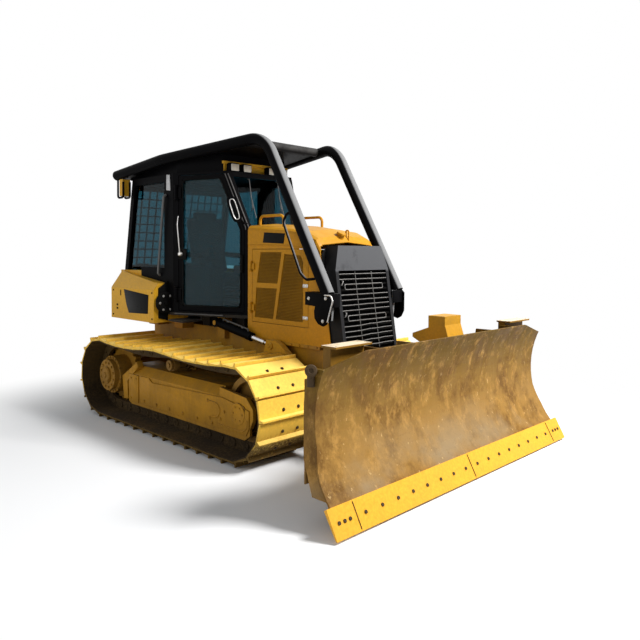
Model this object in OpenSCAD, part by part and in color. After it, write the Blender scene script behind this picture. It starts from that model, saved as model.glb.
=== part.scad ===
// Crawler dozer with a six-way blade, enclosed cab and brush-guard sweeps.
// Millimetres, X forward, Y to the machine's left, Z up, ground at Z = 0.

/* [Undercarriage] */
// Distance between the two track centrelines
track_gauge = 1710; // [1600:10:1900]
// Width of a track shoe
shoe_width = 700; // [560:10:720]
// Distance from the sprocket axle to the idler axle
axle_base = 2306; // [2200:2:2400]
// Radius from an axle to the outer face of the shoes
shoe_radius = 400; // [380:1:420]
// Height of the grouser bar on every shoe
grouser_h = 46; // [30:1:60]
// Number of shoes on one track
shoe_count = 39; // [36:1:42]
// Thickness of a shoe plate
shoe_t = 14; // [10:1:18]
// Height of the chain links under the shoes
link_h = 95; // [80:1:105]
// Offset of a link row from the middle of the track
link_offset = 85; // [75:1:95]
// Width of one link row
link_w = 45; // [35:1:55]
// Track rollers on one side
roller_count = 7; // [5:1:8]
// Radius of a track roller's tread
roller_r = 90; // [80:1:95]
// Forward position of the carrier roller
carrier_x = -60; // [-200:10:100]
// Drop of the upper run between its supports
track_sag = 34; // [0:1:50]
// Half width of a track frame
rail_half = 190; // [170:1:200]

/* [Main frame] */
// Half width of the main frame
hull_half = 330; // [300:1:340]
// Height of the main frame's underside
hull_z = 345; // [320:1:380]
// Height of the engine deck
deck_z = 960; // [930:1:980]
// Half width of the hood and the engine deck
hood_half = 390; // [370:1:392]

/* [Hood and cab] */
// Height of the hood at the cab
hood_rear_z = 2095; // [2060:5:2120]
// Height of the hood at the radiator guard
hood_front_z = 1872; // [1820:4:1900]
// Thickness of the sheet metal
sheet_t = 8; // [5:1:12]
// Height of the platform's upper face
floor_z = 1165; // [1150:1:1185]
// Half width of the cab over its posts
cab_half = 700; // [660:5:720]
// Half width of the windshield at the hood
nose_half = 350; // [320:5:380]
// Forward position of the rear posts of the doors
post_b_x = -450; // [-520:10:-400]
// Forward position of the front posts at the hood
post_a_x = 410; // [380:10:430]
// Forward position of the front posts at the roof
post_top_x = 185; // [150:5:260]
// Height of the cab under its roof
eave_z = 2650; // [2620:5:2680]
// Thickness of the canopy plate
canopy_t = 48; // [40:1:60]
// Thickness of the glass
glass_t = 8; // [6:1:12]
// Radius of the sweep tubes
sweep_r = 57; // [48:1:60]

/* [Blade] */
// Width over the end bits
blade_width = 3280; // [2900:20:3400]
// Forward position of the cutting edge's tip
blade_tip_x = 2804; // [2760:2:2850]
// Height of the cutting edge over the ground
blade_gap = 18; // [10:1:40]
// Height of the blade at its middle
blade_top_z = 1135; // [1050:5:1180]
// Thickness of the moldboard plate
board_t = 14; // [10:1:20]

/* [Linkage] */
// Forward position of the C-frame pivot
pivot_x = 420; // [380:5:460]
// Height of the C-frame pivot
pivot_z = 470; // [450:5:500]
// Forward position of the lift pin on the C-frame
lift_pin_x = 860; // [840:5:900]
// Height of the lift pin on the C-frame
lift_pin_z = 915; // [880:5:930]
// Forward position of the lift cylinder's rear pin
lift_base_x = -10; // [-40:5:40]
// Height of the lift cylinder's rear pin
lift_base_z = 1070; // [1060:1:1072]
// Distance from the cutting edge's tip back to the king pin
king_back = 574; // [560:2:590]
// Height of the tilt axis
king_z = 520; // [500:5:540]
// Side offset of the angle cylinders' blade pins
angle_pin_y = 395; // [380:5:400]
// Side offset of the angle cylinders' rear pins
angle_base_y = 450; // [445:1:452]
// Distance from the king pin back to the angle cylinders' rear pins
angle_back = 710; // [690:5:720]
// Play in the eye of a cylinder rod
eye_play = 12; // [8:1:16]

/* [Hidden] */
$fn = 48;
gap = 0.3;
axle_z = shoe_radius + grouser_h;
axle_x = axle_base / 2;
track_y = track_gauge / 2;
link_r = shoe_radius - shoe_t - link_h;
drawbar_end = -1700;
frame_shift = (blade_tip_x + drawbar_end) / 2;
platform_t = 30;
platform_x0 = -1560;
tank_rear_x = -1100;
tank_z = 1050;
taper = atan2(cab_half - nose_half, post_a_x - post_b_x);
door_len = norm([post_a_x - post_b_x, cab_half - nose_half]);
arm_y = 440;
shaft_x = -430;
shaft_z = 500;
shaft_r = 70;
bar_x = 230;
arm_t = 60;
post_b_w = 170;
frame_t = 50;
engine_x = 560;
hull_x0 = -1420;
hull_x1 = 1640;
deck_x1 = 1440;
carrier_r = 60;
rail_x0 = -axle_x + 363;
rail_x1 = axle_x - 323;
fork_x = axle_x + 137;
tank_half = cab_half + 170;
tank_x0 = -1480;
tank_x1 = -560;
roller_z = axle_z - link_r + roller_r;
carrier_z = axle_z + link_r - carrier_r - gap;
guard_bottom_x = 1735;
guard_top_x = 1580;
guard_foot_z = 880;
guard_half_w = 374;
guard_depth = 140;
guard_knee_z = 1650;
core_half = 335;
core_foot_z = guard_foot_z + 45;
core_top_z = guard_knee_z - 2;
hinge_r = 18;
hinge_u = 52;
hinge_out = 20;
pin_r = 9;
king_x = blade_tip_x - king_back;
nose_x = king_x - 750;
angle_base_x = king_x - angle_back;
angle_z = king_z + 45;
blade_pin_x = king_x + 100;
lug_gap = 64;

// Circle centre through three points of a plane
function circle_mid(a, b, c) =
  let (d = 2 * (a[0] * (b[1] - c[1]) + b[0] * (c[1] - a[1]) + c[0] * (a[1] - b[1])))
  let (qa = a * a, qb = b * b, qc = c * c)
  [(qa * (b[1] - c[1]) + qb * (c[1] - a[1]) + qc * (a[1] - b[1])) / d,
   (qa * (c[0] - b[0]) + qb * (a[0] - c[0]) + qc * (b[0] - a[0])) / d];

// Sag of the upper run at a forward position
carrier_flat = 100;
function span_sag(t) = t <= 0 ? 0 : 4 * track_sag * t * (1 - t);
function sag(x) = x > carrier_x
  ? span_sag((x - carrier_x - carrier_flat) / (axle_x - carrier_x - carrier_flat))
  : span_sag((carrier_x - carrier_flat - x) / (carrier_x - carrier_flat + axle_x));

// Point of the track loop at arc length s, h outside the shoe plates
loop_bow = PI * shoe_radius;
loop_len = 2 * axle_base + 2 * loop_bow;
shoe_pitch = loop_len / shoe_count;
function loop_at(s, h) =
  s < axle_base ? [s - axle_x, axle_z - shoe_radius - h]
  : s < axle_base + loop_bow
  ? let (a = (s - axle_base) / shoe_radius * 180 / PI - 90)
    [axle_x + (shoe_radius + h) * cos(a), axle_z + (shoe_radius + h) * sin(a)]
  : s < 2 * axle_base + loop_bow
  ? let (x = axle_x - (s - axle_base - loop_bow)) [x, axle_z + shoe_radius + h - sag(x)]
  : let (a = (s - 2 * axle_base - loop_bow) / shoe_radius * 180 / PI + 90)
    [-axle_x + (shoe_radius + h) * cos(a), axle_z + (shoe_radius + h) * sin(a)];
shoe_form = [[0.02, 0], [0.05, 1], [0.11, 1], [0.15, 0], [0.58, 0]];
shoe_outline = [for (i = [0:shoe_count - 1], p = shoe_form)
  loop_at((i + p[0]) * shoe_pitch, p[1] * grouser_h)];
function loop_line(h) = [for (i = [0:2 * shoe_count - 1]) loop_at(i / 2 * shoe_pitch, h)];

module placed() {
  translate([-frame_shift, 0, 0]) children();
}

module both() {
  children();
  mirror([0, 1, 0]) children();
}

module right(y) {
  translate([0, -y, 0]) mirror([0, 1, 0]) children();
}

module left(y) {
  translate([0, y, 0]) children();
}

// Slab across Y from a profile in the XZ plane
module across(width) {
  rotate([90, 0, 0]) linear_extrude(width, center = true) children();
}

// Bar along X from a profile in the YZ plane
module along(x0, x1) {
  translate([x0, 0, 0]) rotate([90, 0, 90]) linear_extrude(x1 - x0) children();
}

module block(x0, x1, y0, y1, z0, z1) {
  translate([x0, y0, z0]) cube([x1 - x0, y1 - y0, z1 - z0]);
}

// Round bar across Y
module pin_y(x, y0, y1, z, r) {
  translate([x, y0, z]) rotate([-90, 0, 0]) cylinder(h = y1 - y0, r = r);
}

// Round bar along X
module pin_x(x0, x1, y, z, r) {
  translate([x0, y, z]) rotate([0, 90, 0]) cylinder(h = x1 - x0, r = r);
}

// Round bar between two points
module rod(a, b, r) {
  d = b - a;
  translate(a) rotate([0, acos(d[2] / norm(d)), atan2(d[1], d[0])]) cylinder(h = norm(d), r = r);
}

module track_loop() {
  color("goldenrod") {
    across(shoe_width) difference() {
      polygon(shoe_outline);
      polygon(loop_line(-shoe_t));
    }
    for (s = [-1, 1]) translate([0, s * link_offset, 0]) across(link_w) difference() {
      polygon(loop_line(-shoe_t + 3));
      polygon(loop_line(-shoe_t - link_h));
    }
  }
}

module track_frame() {
  color("gold") difference() {
    union() {
      along(rail_x0, rail_x1) polygon([[-rail_half, 345], [-rail_half, 600], [rail_half - 70, 600],
        [rail_half, 520], [rail_half, 345]]);
      for (s = [-1, 1]) {
        translate([0, s * (rail_half - 12.5), 0]) across(25)
          polygon([[rail_x0 + 20, 345], [rail_x0 + 20, 215],
          [rail_x0 + 70, 190], [fork_x - 110, 190], [fork_x - 40, 240], [fork_x - 40, 345]]);
        translate([0, s * (rail_half - 20), 0]) across(40) polygon([[rail_x1 - 5, 300], [fork_x - 40, 300],
          [fork_x, 380], [fork_x, 470], [fork_x - 90, 560], [rail_x1 - 5, 600]]);
      }
      block(carrier_x - 45, carrier_x + 45, -162, -138, 540, 710);
    }
    pin_y(axle_x, -rail_half - 1, rail_half + 1, axle_z, 40 + gap);
    pin_y(shaft_x, -rail_half - 1, 0, shaft_z, shaft_r + gap);
    pin_y(carrier_x, -170, -130, carrier_z, 25 + gap);
  }
}

module sprocket() {
  teeth = 24;
  color("khaki") {
    across(70) polygon([for (i = [0:teeth - 1], p = [[0, 286], [0.3, 286], [0.5, 322], [0.7, 322]])
      [-axle_x + p[1] * cos((i + p[0]) * 360 / teeth), axle_z + p[1] * sin((i + p[0]) * 360 / teeth)]]);
    pin_y(-axle_x, 30, 190, axle_z, 205);
    pin_y(-axle_x, 185, 245, axle_z, 170);
    pin_y(-axle_x, 240, 262, axle_z, 90);
  }
}

module idler() {
  color("khaki") translate([axle_x, 0, axle_z]) rotate([90, 0, 0]) {
    difference() {
      union() {
        cylinder(h = 220, r = link_r - 3, center = true);
        cylinder(h = 116, r = link_r + 22, center = true);
      }
      for (s = [-1, 1]) translate([0, 0, s * 90]) difference() {
        cylinder(h = 80, r = 235, center = true);
        cylinder(h = 81, r = 95, center = true);
      }
    }
    cylinder(h = 2 * (rail_half - 42), r = 70, center = true);
    cylinder(h = 2 * rail_half + 20, r = 40, center = true);
  }
}

module roller_at(x, z, r, half) {
  translate([x, 0, z]) rotate([90, 0, 0]) {
    cylinder(h = 230, r = r * 0.72, center = true);
    for (s = [-1, 1]) translate([0, 0, s * link_offset]) cylinder(h = 60, r = r - gap, center = true);
    cylinder(h = 2 * half, r = 25, center = true);
  }
}

module rollers() {
  first = rail_x0 + 140;
  last = rail_x1 - 60;
  color("peru") {
    for (i = [0:roller_count - 1])
      roller_at(first + i * (last - first) / (roller_count - 1), roller_z, roller_r, rail_half - 25);
    roller_at(carrier_x, carrier_z, carrier_r, 162);
    pin_y(carrier_x, 114, 150, carrier_z, carrier_r - 8);
  }
}

module main_frame() {
  color("gold") difference() {
    union() {
      across(2 * hull_half) polygon([[hull_x0, 520], [hull_x0 + 170, hull_z], [1400, hull_z], [hull_x1,
        540],
        [hull_x1, guard_foot_z], [deck_x1, guard_foot_z], [deck_x1, deck_z], [engine_x - 20, deck_z],
        [engine_x - 20, 1000], [hull_x0, 1000]]);
      block(post_a_x + 15, deck_x1, -hood_half, hood_half, deck_z - 30, deck_z);
      both() {
        pin_y(-axle_x, hull_half - 5, track_y - 35, axle_z, 180);
        pin_y(pivot_x, hull_half - 5, arm_y - arm_t / 2 - gap, pivot_z, 95);
        pin_y(pivot_x, hull_half - 5, arm_y + arm_t / 2, pivot_z, 45);
        block(lift_base_x - 60, lift_base_x + 60, hull_half - 40, 392, 900, 1120);
        pin_y(lift_base_x, 380, arm_y + 45, lift_base_z, 24.95);
        block(-1300, tank_rear_x, hull_half - 10, 480, 960, tank_z);
        block(-760, -600, hull_half - 10, 480, 960, tank_z);
      }
    }
    pin_y(shaft_x, -400, 400, shaft_z, shaft_r + gap);
    block(bar_x - 60, bar_x + 60, -400, 400, hull_z - 10, 450);
  }
}

module pivot_shaft() {
  color("dimgray") pin_y(shaft_x, -track_y, track_y, shaft_z, shaft_r);
}

module equalizer_bar() {
  color("dimgray") block(bar_x - 60, bar_x + 60, -track_y + rail_half, track_y - rail_half, 362, 450);
}

module engine() {
  color("dimgray") block(engine_x, engine_x + 770, -260, 260, deck_z, 1640);
}

// Guard outline at one height: forward position and half width
function guard_x(z) = guard_bottom_x
  + (guard_top_x - guard_bottom_x) * (z - guard_foot_z) / (hood_front_z - guard_foot_z);
function guard_half(z) = z < guard_knee_z
  ? guard_half_w : guard_half_w - 70 * (z - guard_knee_z) / (hood_front_z - guard_knee_z);

module guard_body(inset, depth) {
  hull() for (z = [guard_foot_z, guard_knee_z, hood_front_z]) {
    y = guard_half(z) - inset;
    zz = z == guard_foot_z ? z + inset : z == guard_knee_z ? z : z - inset;
    translate([guard_x(z) - depth, -y, zz]) cube([depth - 0.5, 2 * y, 0.5]);
  }
}

module radiator_guard() {
  color([0.16, 0.16, 0.17]) difference() {
    guard_body(0, guard_depth);
    hull() for (z = [core_foot_z, core_top_z])
      translate([guard_x(z) - 400, -core_half, z]) cube([500, 2 * core_half, 0.5]);
  }
}

module grille() {
  rows = 15;
  low = guard_foot_z + 62;
  step = (guard_knee_z - 13 - low) / rows;
  color([0.2, 0.2, 0.21]) {
    for (i = [0:rows - 1]) {
      z = low + (i + 0.5) * step;
      block(guard_x(z) - 60, guard_x(z) - 12, -core_half, core_half, z - 9, z + 9);
    }
    for (y = [-326, -100, 100, 326]) hull() for (z = [core_foot_z + 3, core_top_z - 2])
      translate([guard_x(z) - 66, y - 9, z]) cube([20, 18, 0.5]);
  }
}

module radiator_core() {
  color([0.1, 0.1, 0.1]) hull() for (z = [core_foot_z, core_top_z])
    translate([guard_x(z) - guard_depth, -core_half, z]) cube([60, 2 * core_half, 0.5]);
}

// Hood section at a forward position, set in by the sheet thickness
module hood_slice(x, z_top, top_half, inset) {
  along(x, x + 0.5) polygon(concat(
    [[-hood_half + inset, deck_z - inset]],
    [for (a = [0:30:90]) [-top_half - (hood_half - top_half - inset) * cos(a),
      z_top - 62 + (50 - inset) * sin(a)]],
    [[0, z_top + 14 - inset]],
    [for (a = [90:-30:0]) [top_half + (hood_half - top_half - inset) * cos(a),
      z_top - 62 + (50 - inset) * sin(a)]],
    [[hood_half - inset, deck_z - inset]]));
}

// Outside or inside of the hood, from the windshield to the radiator guard
hood_x0 = post_a_x + 20;
hood_x1 = 1030;
function guard_rear(z) = guard_x(z) - guard_depth - gap;
// Height of the hood's shoulder at a forward position
function hood_top(x) = hood_rear_z + (hood_front_z + 180 - hood_rear_z) * (x - hood_x0) / (hood_x1 -
  hood_x0);
module hood_body(inset) {
  top_x = guard_rear(hood_front_z);
  hull() {
    hood_slice(hood_x0 - inset, hood_rear_z, 330, inset);
    hood_slice(hood_x1, hood_top(hood_x1), 325, inset);
    hood_slice(1240, hood_front_z + 150, 320, inset);
    hood_slice(top_x - 60, hood_front_z + 85, 310, inset);
    hood_slice(top_x - 0.5 + inset, hood_front_z - 4, 300, inset);
    block(guard_rear(deck_z) - 1, guard_rear(deck_z) - 0.5 + inset, -hood_half + inset, hood_half - inset,
      deck_z - inset, deck_z + 0.5);
  }
}

module hood() {
  color("gold") difference() {
    hood_body(0);
    hood_body(sheet_t);
    both() block(hatch_x0 - 4, hatch_x1 + 4, hood_half - 32, hood_half + 10, hatch_z0 - 4, hatch_z1 + 4);
  }
  color("gold") both() for (z = hatch_hinges) {
    for (d = [-22, 62]) {
      block(hatch_pin_x - 16, hatch_pin_x + 2, hood_half - 4, hatch_pin_y + 4, z + d, z + d + 20);
      translate([hatch_pin_x, hatch_pin_y, z + d]) cylinder(h = 20, r = knuckle_r);
    }
    translate([hatch_pin_x, hatch_pin_y, z - 20]) cylinder(h = 100, r = pin_r);
  }
}

// Engine door: a sheet panel with three vent recesses, hinged at its rear edge
hatch_x0 = 500;
hatch_x1 = 1290;
hatch_z0 = 1120;
hatch_z1 = 1840;
hatch_t = 30;
knuckle_r = 14;
hatch_pin_x = hatch_x0 - 8;
hatch_pin_y = hood_half + 16;
hatch_hinges = [hatch_z0 + 110, hatch_z1 - 200];
vents = [
  [[570, 1510], [870, 1510], [930, 1810], [625, 1810]],
  [[540, 1165], [810, 1165], [865, 1460], [560, 1460]],
  [[850, 1165], [1225, 1165], [1225, 1720], [1190, 1780], [970, 1795]]];

module engine_door() {
  color("gold") {
    difference() {
      block(hatch_x0, hatch_x1, hood_half - hatch_t, hood_half, hatch_z0, hatch_z1);
      for (v = vents) translate([0, hood_half - hatch_t / 4, 0]) across(hatch_t / 2 + 1) polygon(v);
    }
    difference() {
      for (z = hatch_hinges) {
        translate([hatch_pin_x, hatch_pin_y, z]) cylinder(h = 60, r = knuckle_r);
        block(hatch_pin_x, hatch_x0 + 40, hood_half - 2, hatch_pin_y - 2, z, z + 60);
      }
      for (z = hatch_hinges) {
        translate([hatch_pin_x, hatch_pin_y, z - 1]) cylinder(h = 62, r = pin_r + 0.05);
        block(hatch_pin_x - 22, hatch_x0 + 1, hood_half - 10, hood_half + 1, z - 1, z + 61);
      }
    }
  }
}

// Steps under the doors, hung from the platform's slanting edge
step_x0 = -400;
step_x1 = -130;
step_y0 = cab_half - (step_x1 - post_b_x) * tan(taper) - 40;
step_z = 1080;

module platform() {
  color([0.12, 0.12, 0.12]) {
    translate([0, 0, floor_z - platform_t]) linear_extrude(platform_t)
      polygon([[platform_x0, -cab_half], [post_b_x, -cab_half],
      [post_a_x, -nose_half], [post_a_x, nose_half], [post_b_x, cab_half], [platform_x0, cab_half]]);
    for (x = [-1250, -400, 200]) block(x - 60, x + 60, -300, 300, 1000, floor_z - platform_t + 1);
    both() {
      block(step_x0, step_x1, step_y0, cab_half + 90, step_z, step_z + 20);
      for (x = [step_x0 + 10, step_x1 - 30]) block(x, x + 20, step_y0, step_y0 + 20, step_z + 15,
        floor_z - platform_t + 1);
    }
  }
}

module side_tanks() {
  color("gold") both() intersection() {
    along(tank_x0, tank_x1) polygon([[400, tank_z], [tank_half, tank_z], [tank_half, tank_z + 350],
      [cab_half + 25, belt_z],
      [cab_half + gap, belt_z], [cab_half + gap, floor_z - platform_t - gap], [400,
        floor_z - platform_t - gap]]);
    across(2 * tank_half + 10) polygon([[tank_x0, tank_z], [tank_x1, tank_z], [tank_x1, belt_z - 130],
      [tank_x0, belt_z - 10]]);
  }
}

module fuel_tank() {
  color("gold") block(platform_x0, tank_rear_x, -cab_half, cab_half, floor_z, belt_z);
}

// Leaning bar between two points of the XZ plane, y0 to y1
module lean(x0, z0, x1, z1, width, y0, y1) {
  translate([0, (y0 + y1) / 2, 0]) across(y1 - y0)
    polygon([[x0, z0], [x0 + width, z0], [x1 + width, z1], [x1, z1]]);
}

// Frame of the door plane: local X runs forward along the door
module door_plane() {
  translate([post_b_x, cab_half, 0]) rotate([0, 0, -taper]) children();
}
top_u = (post_top_x - post_b_x) / cos(taper);
// Heights of the belt, of the rear header and of the front posts' knee
belt_z = 1600;
head_z = eave_z - 80;
knee_z = 2060;
post_d = 60;
rear_x = -1470;
rear_top_x = -1290;
rear_lean = atan2(rear_top_x - rear_x, eave_z - belt_z);
door_hinges = [1300, 2380];
// Front face of the rear posts at a height
function rear_edge(z) = rear_x + 70 + gap + (z - belt_z) * tan(rear_lean);
// Inner face of the front posts at a forward position
function post_in(x) = cab_half - (x - post_b_x) * tan(taper) - frame_t / cos(taper);
// Forward position of the windshield at a height
function shield_x(z) = post_a_x - 30 + (post_top_x - post_a_x + 2) * (z - knee_z) / (eave_z - knee_z);

module cab_side() {
  // rear post, belt panel and door post
  lean(rear_x, belt_z, rear_top_x, eave_z, 70, cab_half - post_d, cab_half);
  block(tank_rear_x, post_b_x - post_b_w, cab_half - 40, cab_half, floor_z, belt_z);
  block(post_b_x - post_b_w, post_b_x + 5, cab_half - 75, cab_half, floor_z, eave_z);
  block(rear_top_x, post_b_x - post_b_w + 5, cab_half - post_d, cab_half, head_z, eave_z);
  block(tank_rear_x, post_b_x - post_b_w + 5, cab_half - post_d, cab_half, belt_z - 40, belt_z + 40);
  // front post in the door plane, with the sill and the header
  door_plane() translate([0, -frame_t / 2, 0]) across(frame_t) difference() {
    polygon([[0, floor_z], [door_len, floor_z], [door_len, knee_z], [top_u, eave_z], [0, eave_z]]);
    polygon([[70, floor_z + 20], [door_len - 60, floor_z + 20], [door_len - 60, knee_z - 10],
      [top_u - 58, eave_z - 25], [70, eave_z - 25]]);
  }
  for (z = door_hinges) door_plane() {
    for (d = [-22, 122]) {
      translate([hinge_u, hinge_out, z + d]) cylinder(h = 20, r = hinge_r);
      block(hinge_u - 32, hinge_u + 8, -20, hinge_out, z + d, z + d + 20);
    }
    translate([hinge_u, hinge_out, z - 20]) cylinder(h = 160, r = pin_r);
  }
}

module cab_frame() {
  color([0.12, 0.12, 0.12]) {
    both() cab_side();
    block(post_a_x - 40, post_a_x, -nose_half + 20, nose_half - 20, floor_z, knee_z);
    block(rear_top_x, rear_top_x + 70, -cab_half + 20, cab_half - 20, head_z, eave_z);
    block(post_top_x - 60, post_top_x, -post_in(post_top_x - 60) - 5, post_in(post_top_x - 60) + 5,
      eave_z - 55, eave_z);
  }
}

// Sweep tubes: rear end, kink over the doors, front corner and foot
sweep_tail = [-1480, cab_half + 95, 2700];
sweep_kink = [-600, cab_half + 45, 2805];
sweep_nose = [804, 490, 2916];
sweep_foot_z = 1442;
sweep_drop = 60.5;
sweep_foot = [sweep_nose[0] + (sweep_nose[2] - sweep_foot_z) / tan(sweep_drop), sweep_nose[1],
  sweep_foot_z];
function unit(v) = v / norm(v);
function bend_trim(a, c, b, r) = r * tan(acos(unit(c - a) * unit(b - c)) / 2);

// Round elbow of a tube at corner c of the line a, c, b
module elbow(a, c, b, bend, r) {
  d1 = unit(c - a);
  d2 = unit(b - c);
  turn = acos(d1 * d2);
  n = unit(d2 - (d1 * d2) * d1);
  w = cross(-n, d1);
  o = c - bend_trim(a, c, b, bend) * d1 + bend * n;
  multmatrix([[-n[0], d1[0], w[0], o[0]], [-n[1], d1[1], w[1], o[1]], [-n[2], d1[2], w[2], o[2]], [0,
    0, 0, 1]])
    rotate_extrude(angle = turn) translate([bend, 0]) circle(r = r);
}

// Roof: a box on the cab and a canopy plate that runs on forward between the sweep tubes
visor_x = 80;
canopy_x = 450;
roof_half = cab_half - 50;
canopy_line = [[rear_x, sweep_tail[2] + 12], [sweep_kink[0], sweep_kink[2] + 15], [canopy_x,
  sweep_nose[2] - 5]];
function tube_y(x) = x < sweep_kink[0]
  ? sweep_kink[1] + (sweep_tail[1] - sweep_kink[1]) * (x - sweep_kink[0]) / (sweep_tail[0] - sweep_kink[0])
  : sweep_kink[1] + (sweep_nose[1] - sweep_kink[1]) * (x - sweep_kink[0]) / (sweep_nose[0] - sweep_kink[0]);
function canopy_y(x) = tube_y(x) - sweep_r - 14;

module cab_roof() {
  drop = [0, canopy_t];
  color([0.1, 0.1, 0.1]) {
    intersection() {
      translate([0, 0, eave_z + gap]) linear_extrude(300)
        polygon([[rear_x + 50, -roof_half], [post_b_x, -roof_half],
        [visor_x, -post_in(visor_x)], [visor_x, post_in(visor_x)], [post_b_x, roof_half], [rear_x + 50,
          roof_half]]);
      across(2 * cab_half + 10) polygon(concat([[canopy_x, eave_z], [rear_x, eave_z]],
        [for (q = canopy_line) q - drop / 2]));
    }
    intersection() {
      translate([0, 0, eave_z - 200]) linear_extrude(600) polygon(concat(
        [for (q = canopy_line) [q[0], -canopy_y(q[0])]],
        [for (i = [2:-1:0]) [canopy_line[i][0], canopy_y(canopy_line[i][0])]]));
      across(4 * cab_half) polygon(concat(canopy_line, [for (i = [2:-1:0]) canopy_line[i] - drop]));
    }
  }
}

module cab_glass() {
  color([0.25, 0.4, 0.45, 0.6]) {
    top = eave_z - 55;
    rake = atan2(shield_x(top) - shield_x(knee_z), top - knee_z);
    y0 = post_in(shield_x(knee_z) + glass_t) - gap;
    y1 = post_in(shield_x(top) + glass_t) - gap;
    translate([shield_x(knee_z), 0, knee_z]) rotate([0, rake, 0])
      along(0, glass_t) polygon([[-y0, 6], [y0, 6], [y1, (top - knee_z) / cos(rake) - 4], [-y1,
        (top - knee_z) / cos(rake) - 4]]);
    lean(rear_x + 30, belt_z, rear_x + 30 + (head_z - belt_z) * tan(rear_lean), head_z, glass_t,
      -cab_half + post_d, cab_half - post_d);
    both() translate([0, cab_half - 30, 0]) across(glass_t) polygon([[rear_edge(belt_z + 40), belt_z + 40],
      [post_b_x - post_b_w, belt_z + 40], [post_b_x - post_b_w, head_z], [rear_edge(head_z), head_z]]);
  }
}

// Wire guard behind the rear window
module cab_screens() {
  pitch = 100;
  bar = 14;
  rise = (eave_z - belt_z) / cos(rear_lean);
  color([0.08, 0.08, 0.08]) translate([rear_x, 0, belt_z + 4]) rotate([0, rear_lean, 0]) along(-12,
    -gap) difference() {
    translate([-cab_half + 10, 0]) square([2 * cab_half - 20, rise - 20]);
    for (y = [-cab_half + 60:pitch:cab_half - 140], z = [50:pitch:rise - 150])
      translate([y, z]) square(pitch - bar);
  }
}

module seat() {
  color([0.15, 0.15, 0.16]) {
    block(-700, -180, -250, 250, floor_z + 250, floor_z + 400);
    lean(-800, floor_z + 380, -930, floor_z + 1050, 130, -240, 240);
    block(-640, -300, -170, 170, floor_z, floor_z + 251);
    block(-800, -690, -240, 240, floor_z + 330, floor_z + 420);
  }
}

module console() {
  color([0.2, 0.2, 0.2]) {
    both() block(-650, -100, 300, 470, floor_z, floor_z + 480);
    block(170, post_a_x - 41, -260, 260, floor_z, floor_z + 620);
  }
}

module front_lamps() {
  low = eave_z + 4;
  color("gold") block(visor_x + gap, visor_x + 34, -post_in(visor_x) - 20, post_in(visor_x) + 20,
    low + 78, low + 104);
  color("gold") block(visor_x + gap, visor_x + 12, -post_in(visor_x), post_in(visor_x), low, low + 80);
  color("white") for (y = [-343, -178, 178, 343])
    block(visor_x + 11, visor_x + 78, y - 52, y + 52, low, low + 79);
}

module rear_lamps() {
  x = rear_x + 60;
  tube_z = sweep_tail[2] + (sweep_kink[2] - sweep_tail[2]) * (x - sweep_tail[0]) / (sweep_kink[0] -
    sweep_tail[0]);
  color("gold") both() block(x, x + 70, cab_half + gap, sweep_tail[1] + 5, eave_z - 190,
    tube_z - sweep_r - 2 * gap);
}

module sweep() {
  kink_bend = 900;
  nose_bend = 300;
  kink_trim = bend_trim(sweep_tail, sweep_kink, sweep_nose, kink_bend) + gap;
  nose_trim = bend_trim(sweep_kink, sweep_nose, sweep_foot, nose_bend) + gap;
  top = unit(sweep_nose - sweep_kink);
  leg = unit(sweep_foot - sweep_nose);
  color([0.1, 0.1, 0.1]) {
    rod(sweep_tail, sweep_kink - kink_trim * unit(sweep_kink - sweep_tail), sweep_r);
    elbow(sweep_tail, sweep_kink, sweep_nose, kink_bend, sweep_r);
    rod(sweep_kink + kink_trim * top, sweep_nose - nose_trim * top, sweep_r);
    elbow(sweep_kink, sweep_nose, sweep_foot, nose_bend, sweep_r);
    rod(sweep_nose + nose_trim * leg, sweep_foot, sweep_r);
    for (x = [-1400, -500, 100]) block(x, x + 70, canopy_y(x) + gap, tube_y(x), canopy_at(x + 70) - 40,
      canopy_at(x) - 8);
    block(guard_rear(sweep_foot_z - 110) + 4, sweep_foot[0] + 25, guard_half_w + gap, sweep_nose[1] + 30,
      sweep_foot_z - 110, sweep_foot_z + 10);
    translate([sweep_foot[0] - 40, (guard_half_w + sweep_nose[1]) / 2, sweep_foot_z - 190]) across(24)
      polygon([[-60, 90], [45, 90], [30, -40], [-30, -60], [-75, 0]]);
  }
}
// Height of the canopy's upper face at a forward position
function canopy_at(x) = lookup(x, canopy_line);

module sweep_cross() {
  x = 530;
  z = sweep_kink[2] + (sweep_nose[2] - sweep_kink[2]) * (x - sweep_kink[0]) / (sweep_nose[0] -
    sweep_kink[0]);
  toe = atan2(sweep_kink[1] - sweep_nose[1], sweep_nose[0] - sweep_kink[0]);
  half = tube_y(x + 45) - sweep_r / cos(toe) - 2 * gap;
  color([0.1, 0.1, 0.1]) pin_y(x, -half, half, z, 45);
}

// Grab rails on the hood: a bent bar on two feet
module handrails() {
  x0 = 480;
  x1 = 830;
  top = hood_rear_z + 80;
  bend = 50;
  r = 14;
  function foot(x) = hood_top(x - r) - 6.3 + gap;
  color("gold") both() translate([0, 270, 0]) {
    for (x = [x0, x1]) rod([x, 0, foot(x)], [x, 0, top - bend - gap], r);
    rod([x0 + bend + gap, 0, top], [x1 - bend - gap, 0, top], r);
    translate([x0 + bend, 0, top - bend]) rotate([90, 0, 0]) rotate([0, 0, 90]) rotate_extrude(angle = 90)
      translate([bend, 0]) circle(r = r);
    translate([x1 - bend, 0, top - bend]) rotate([90, 0, 0]) rotate_extrude(angle = 90)
      translate([bend, 0]) circle(r = r);
  }
}

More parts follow.
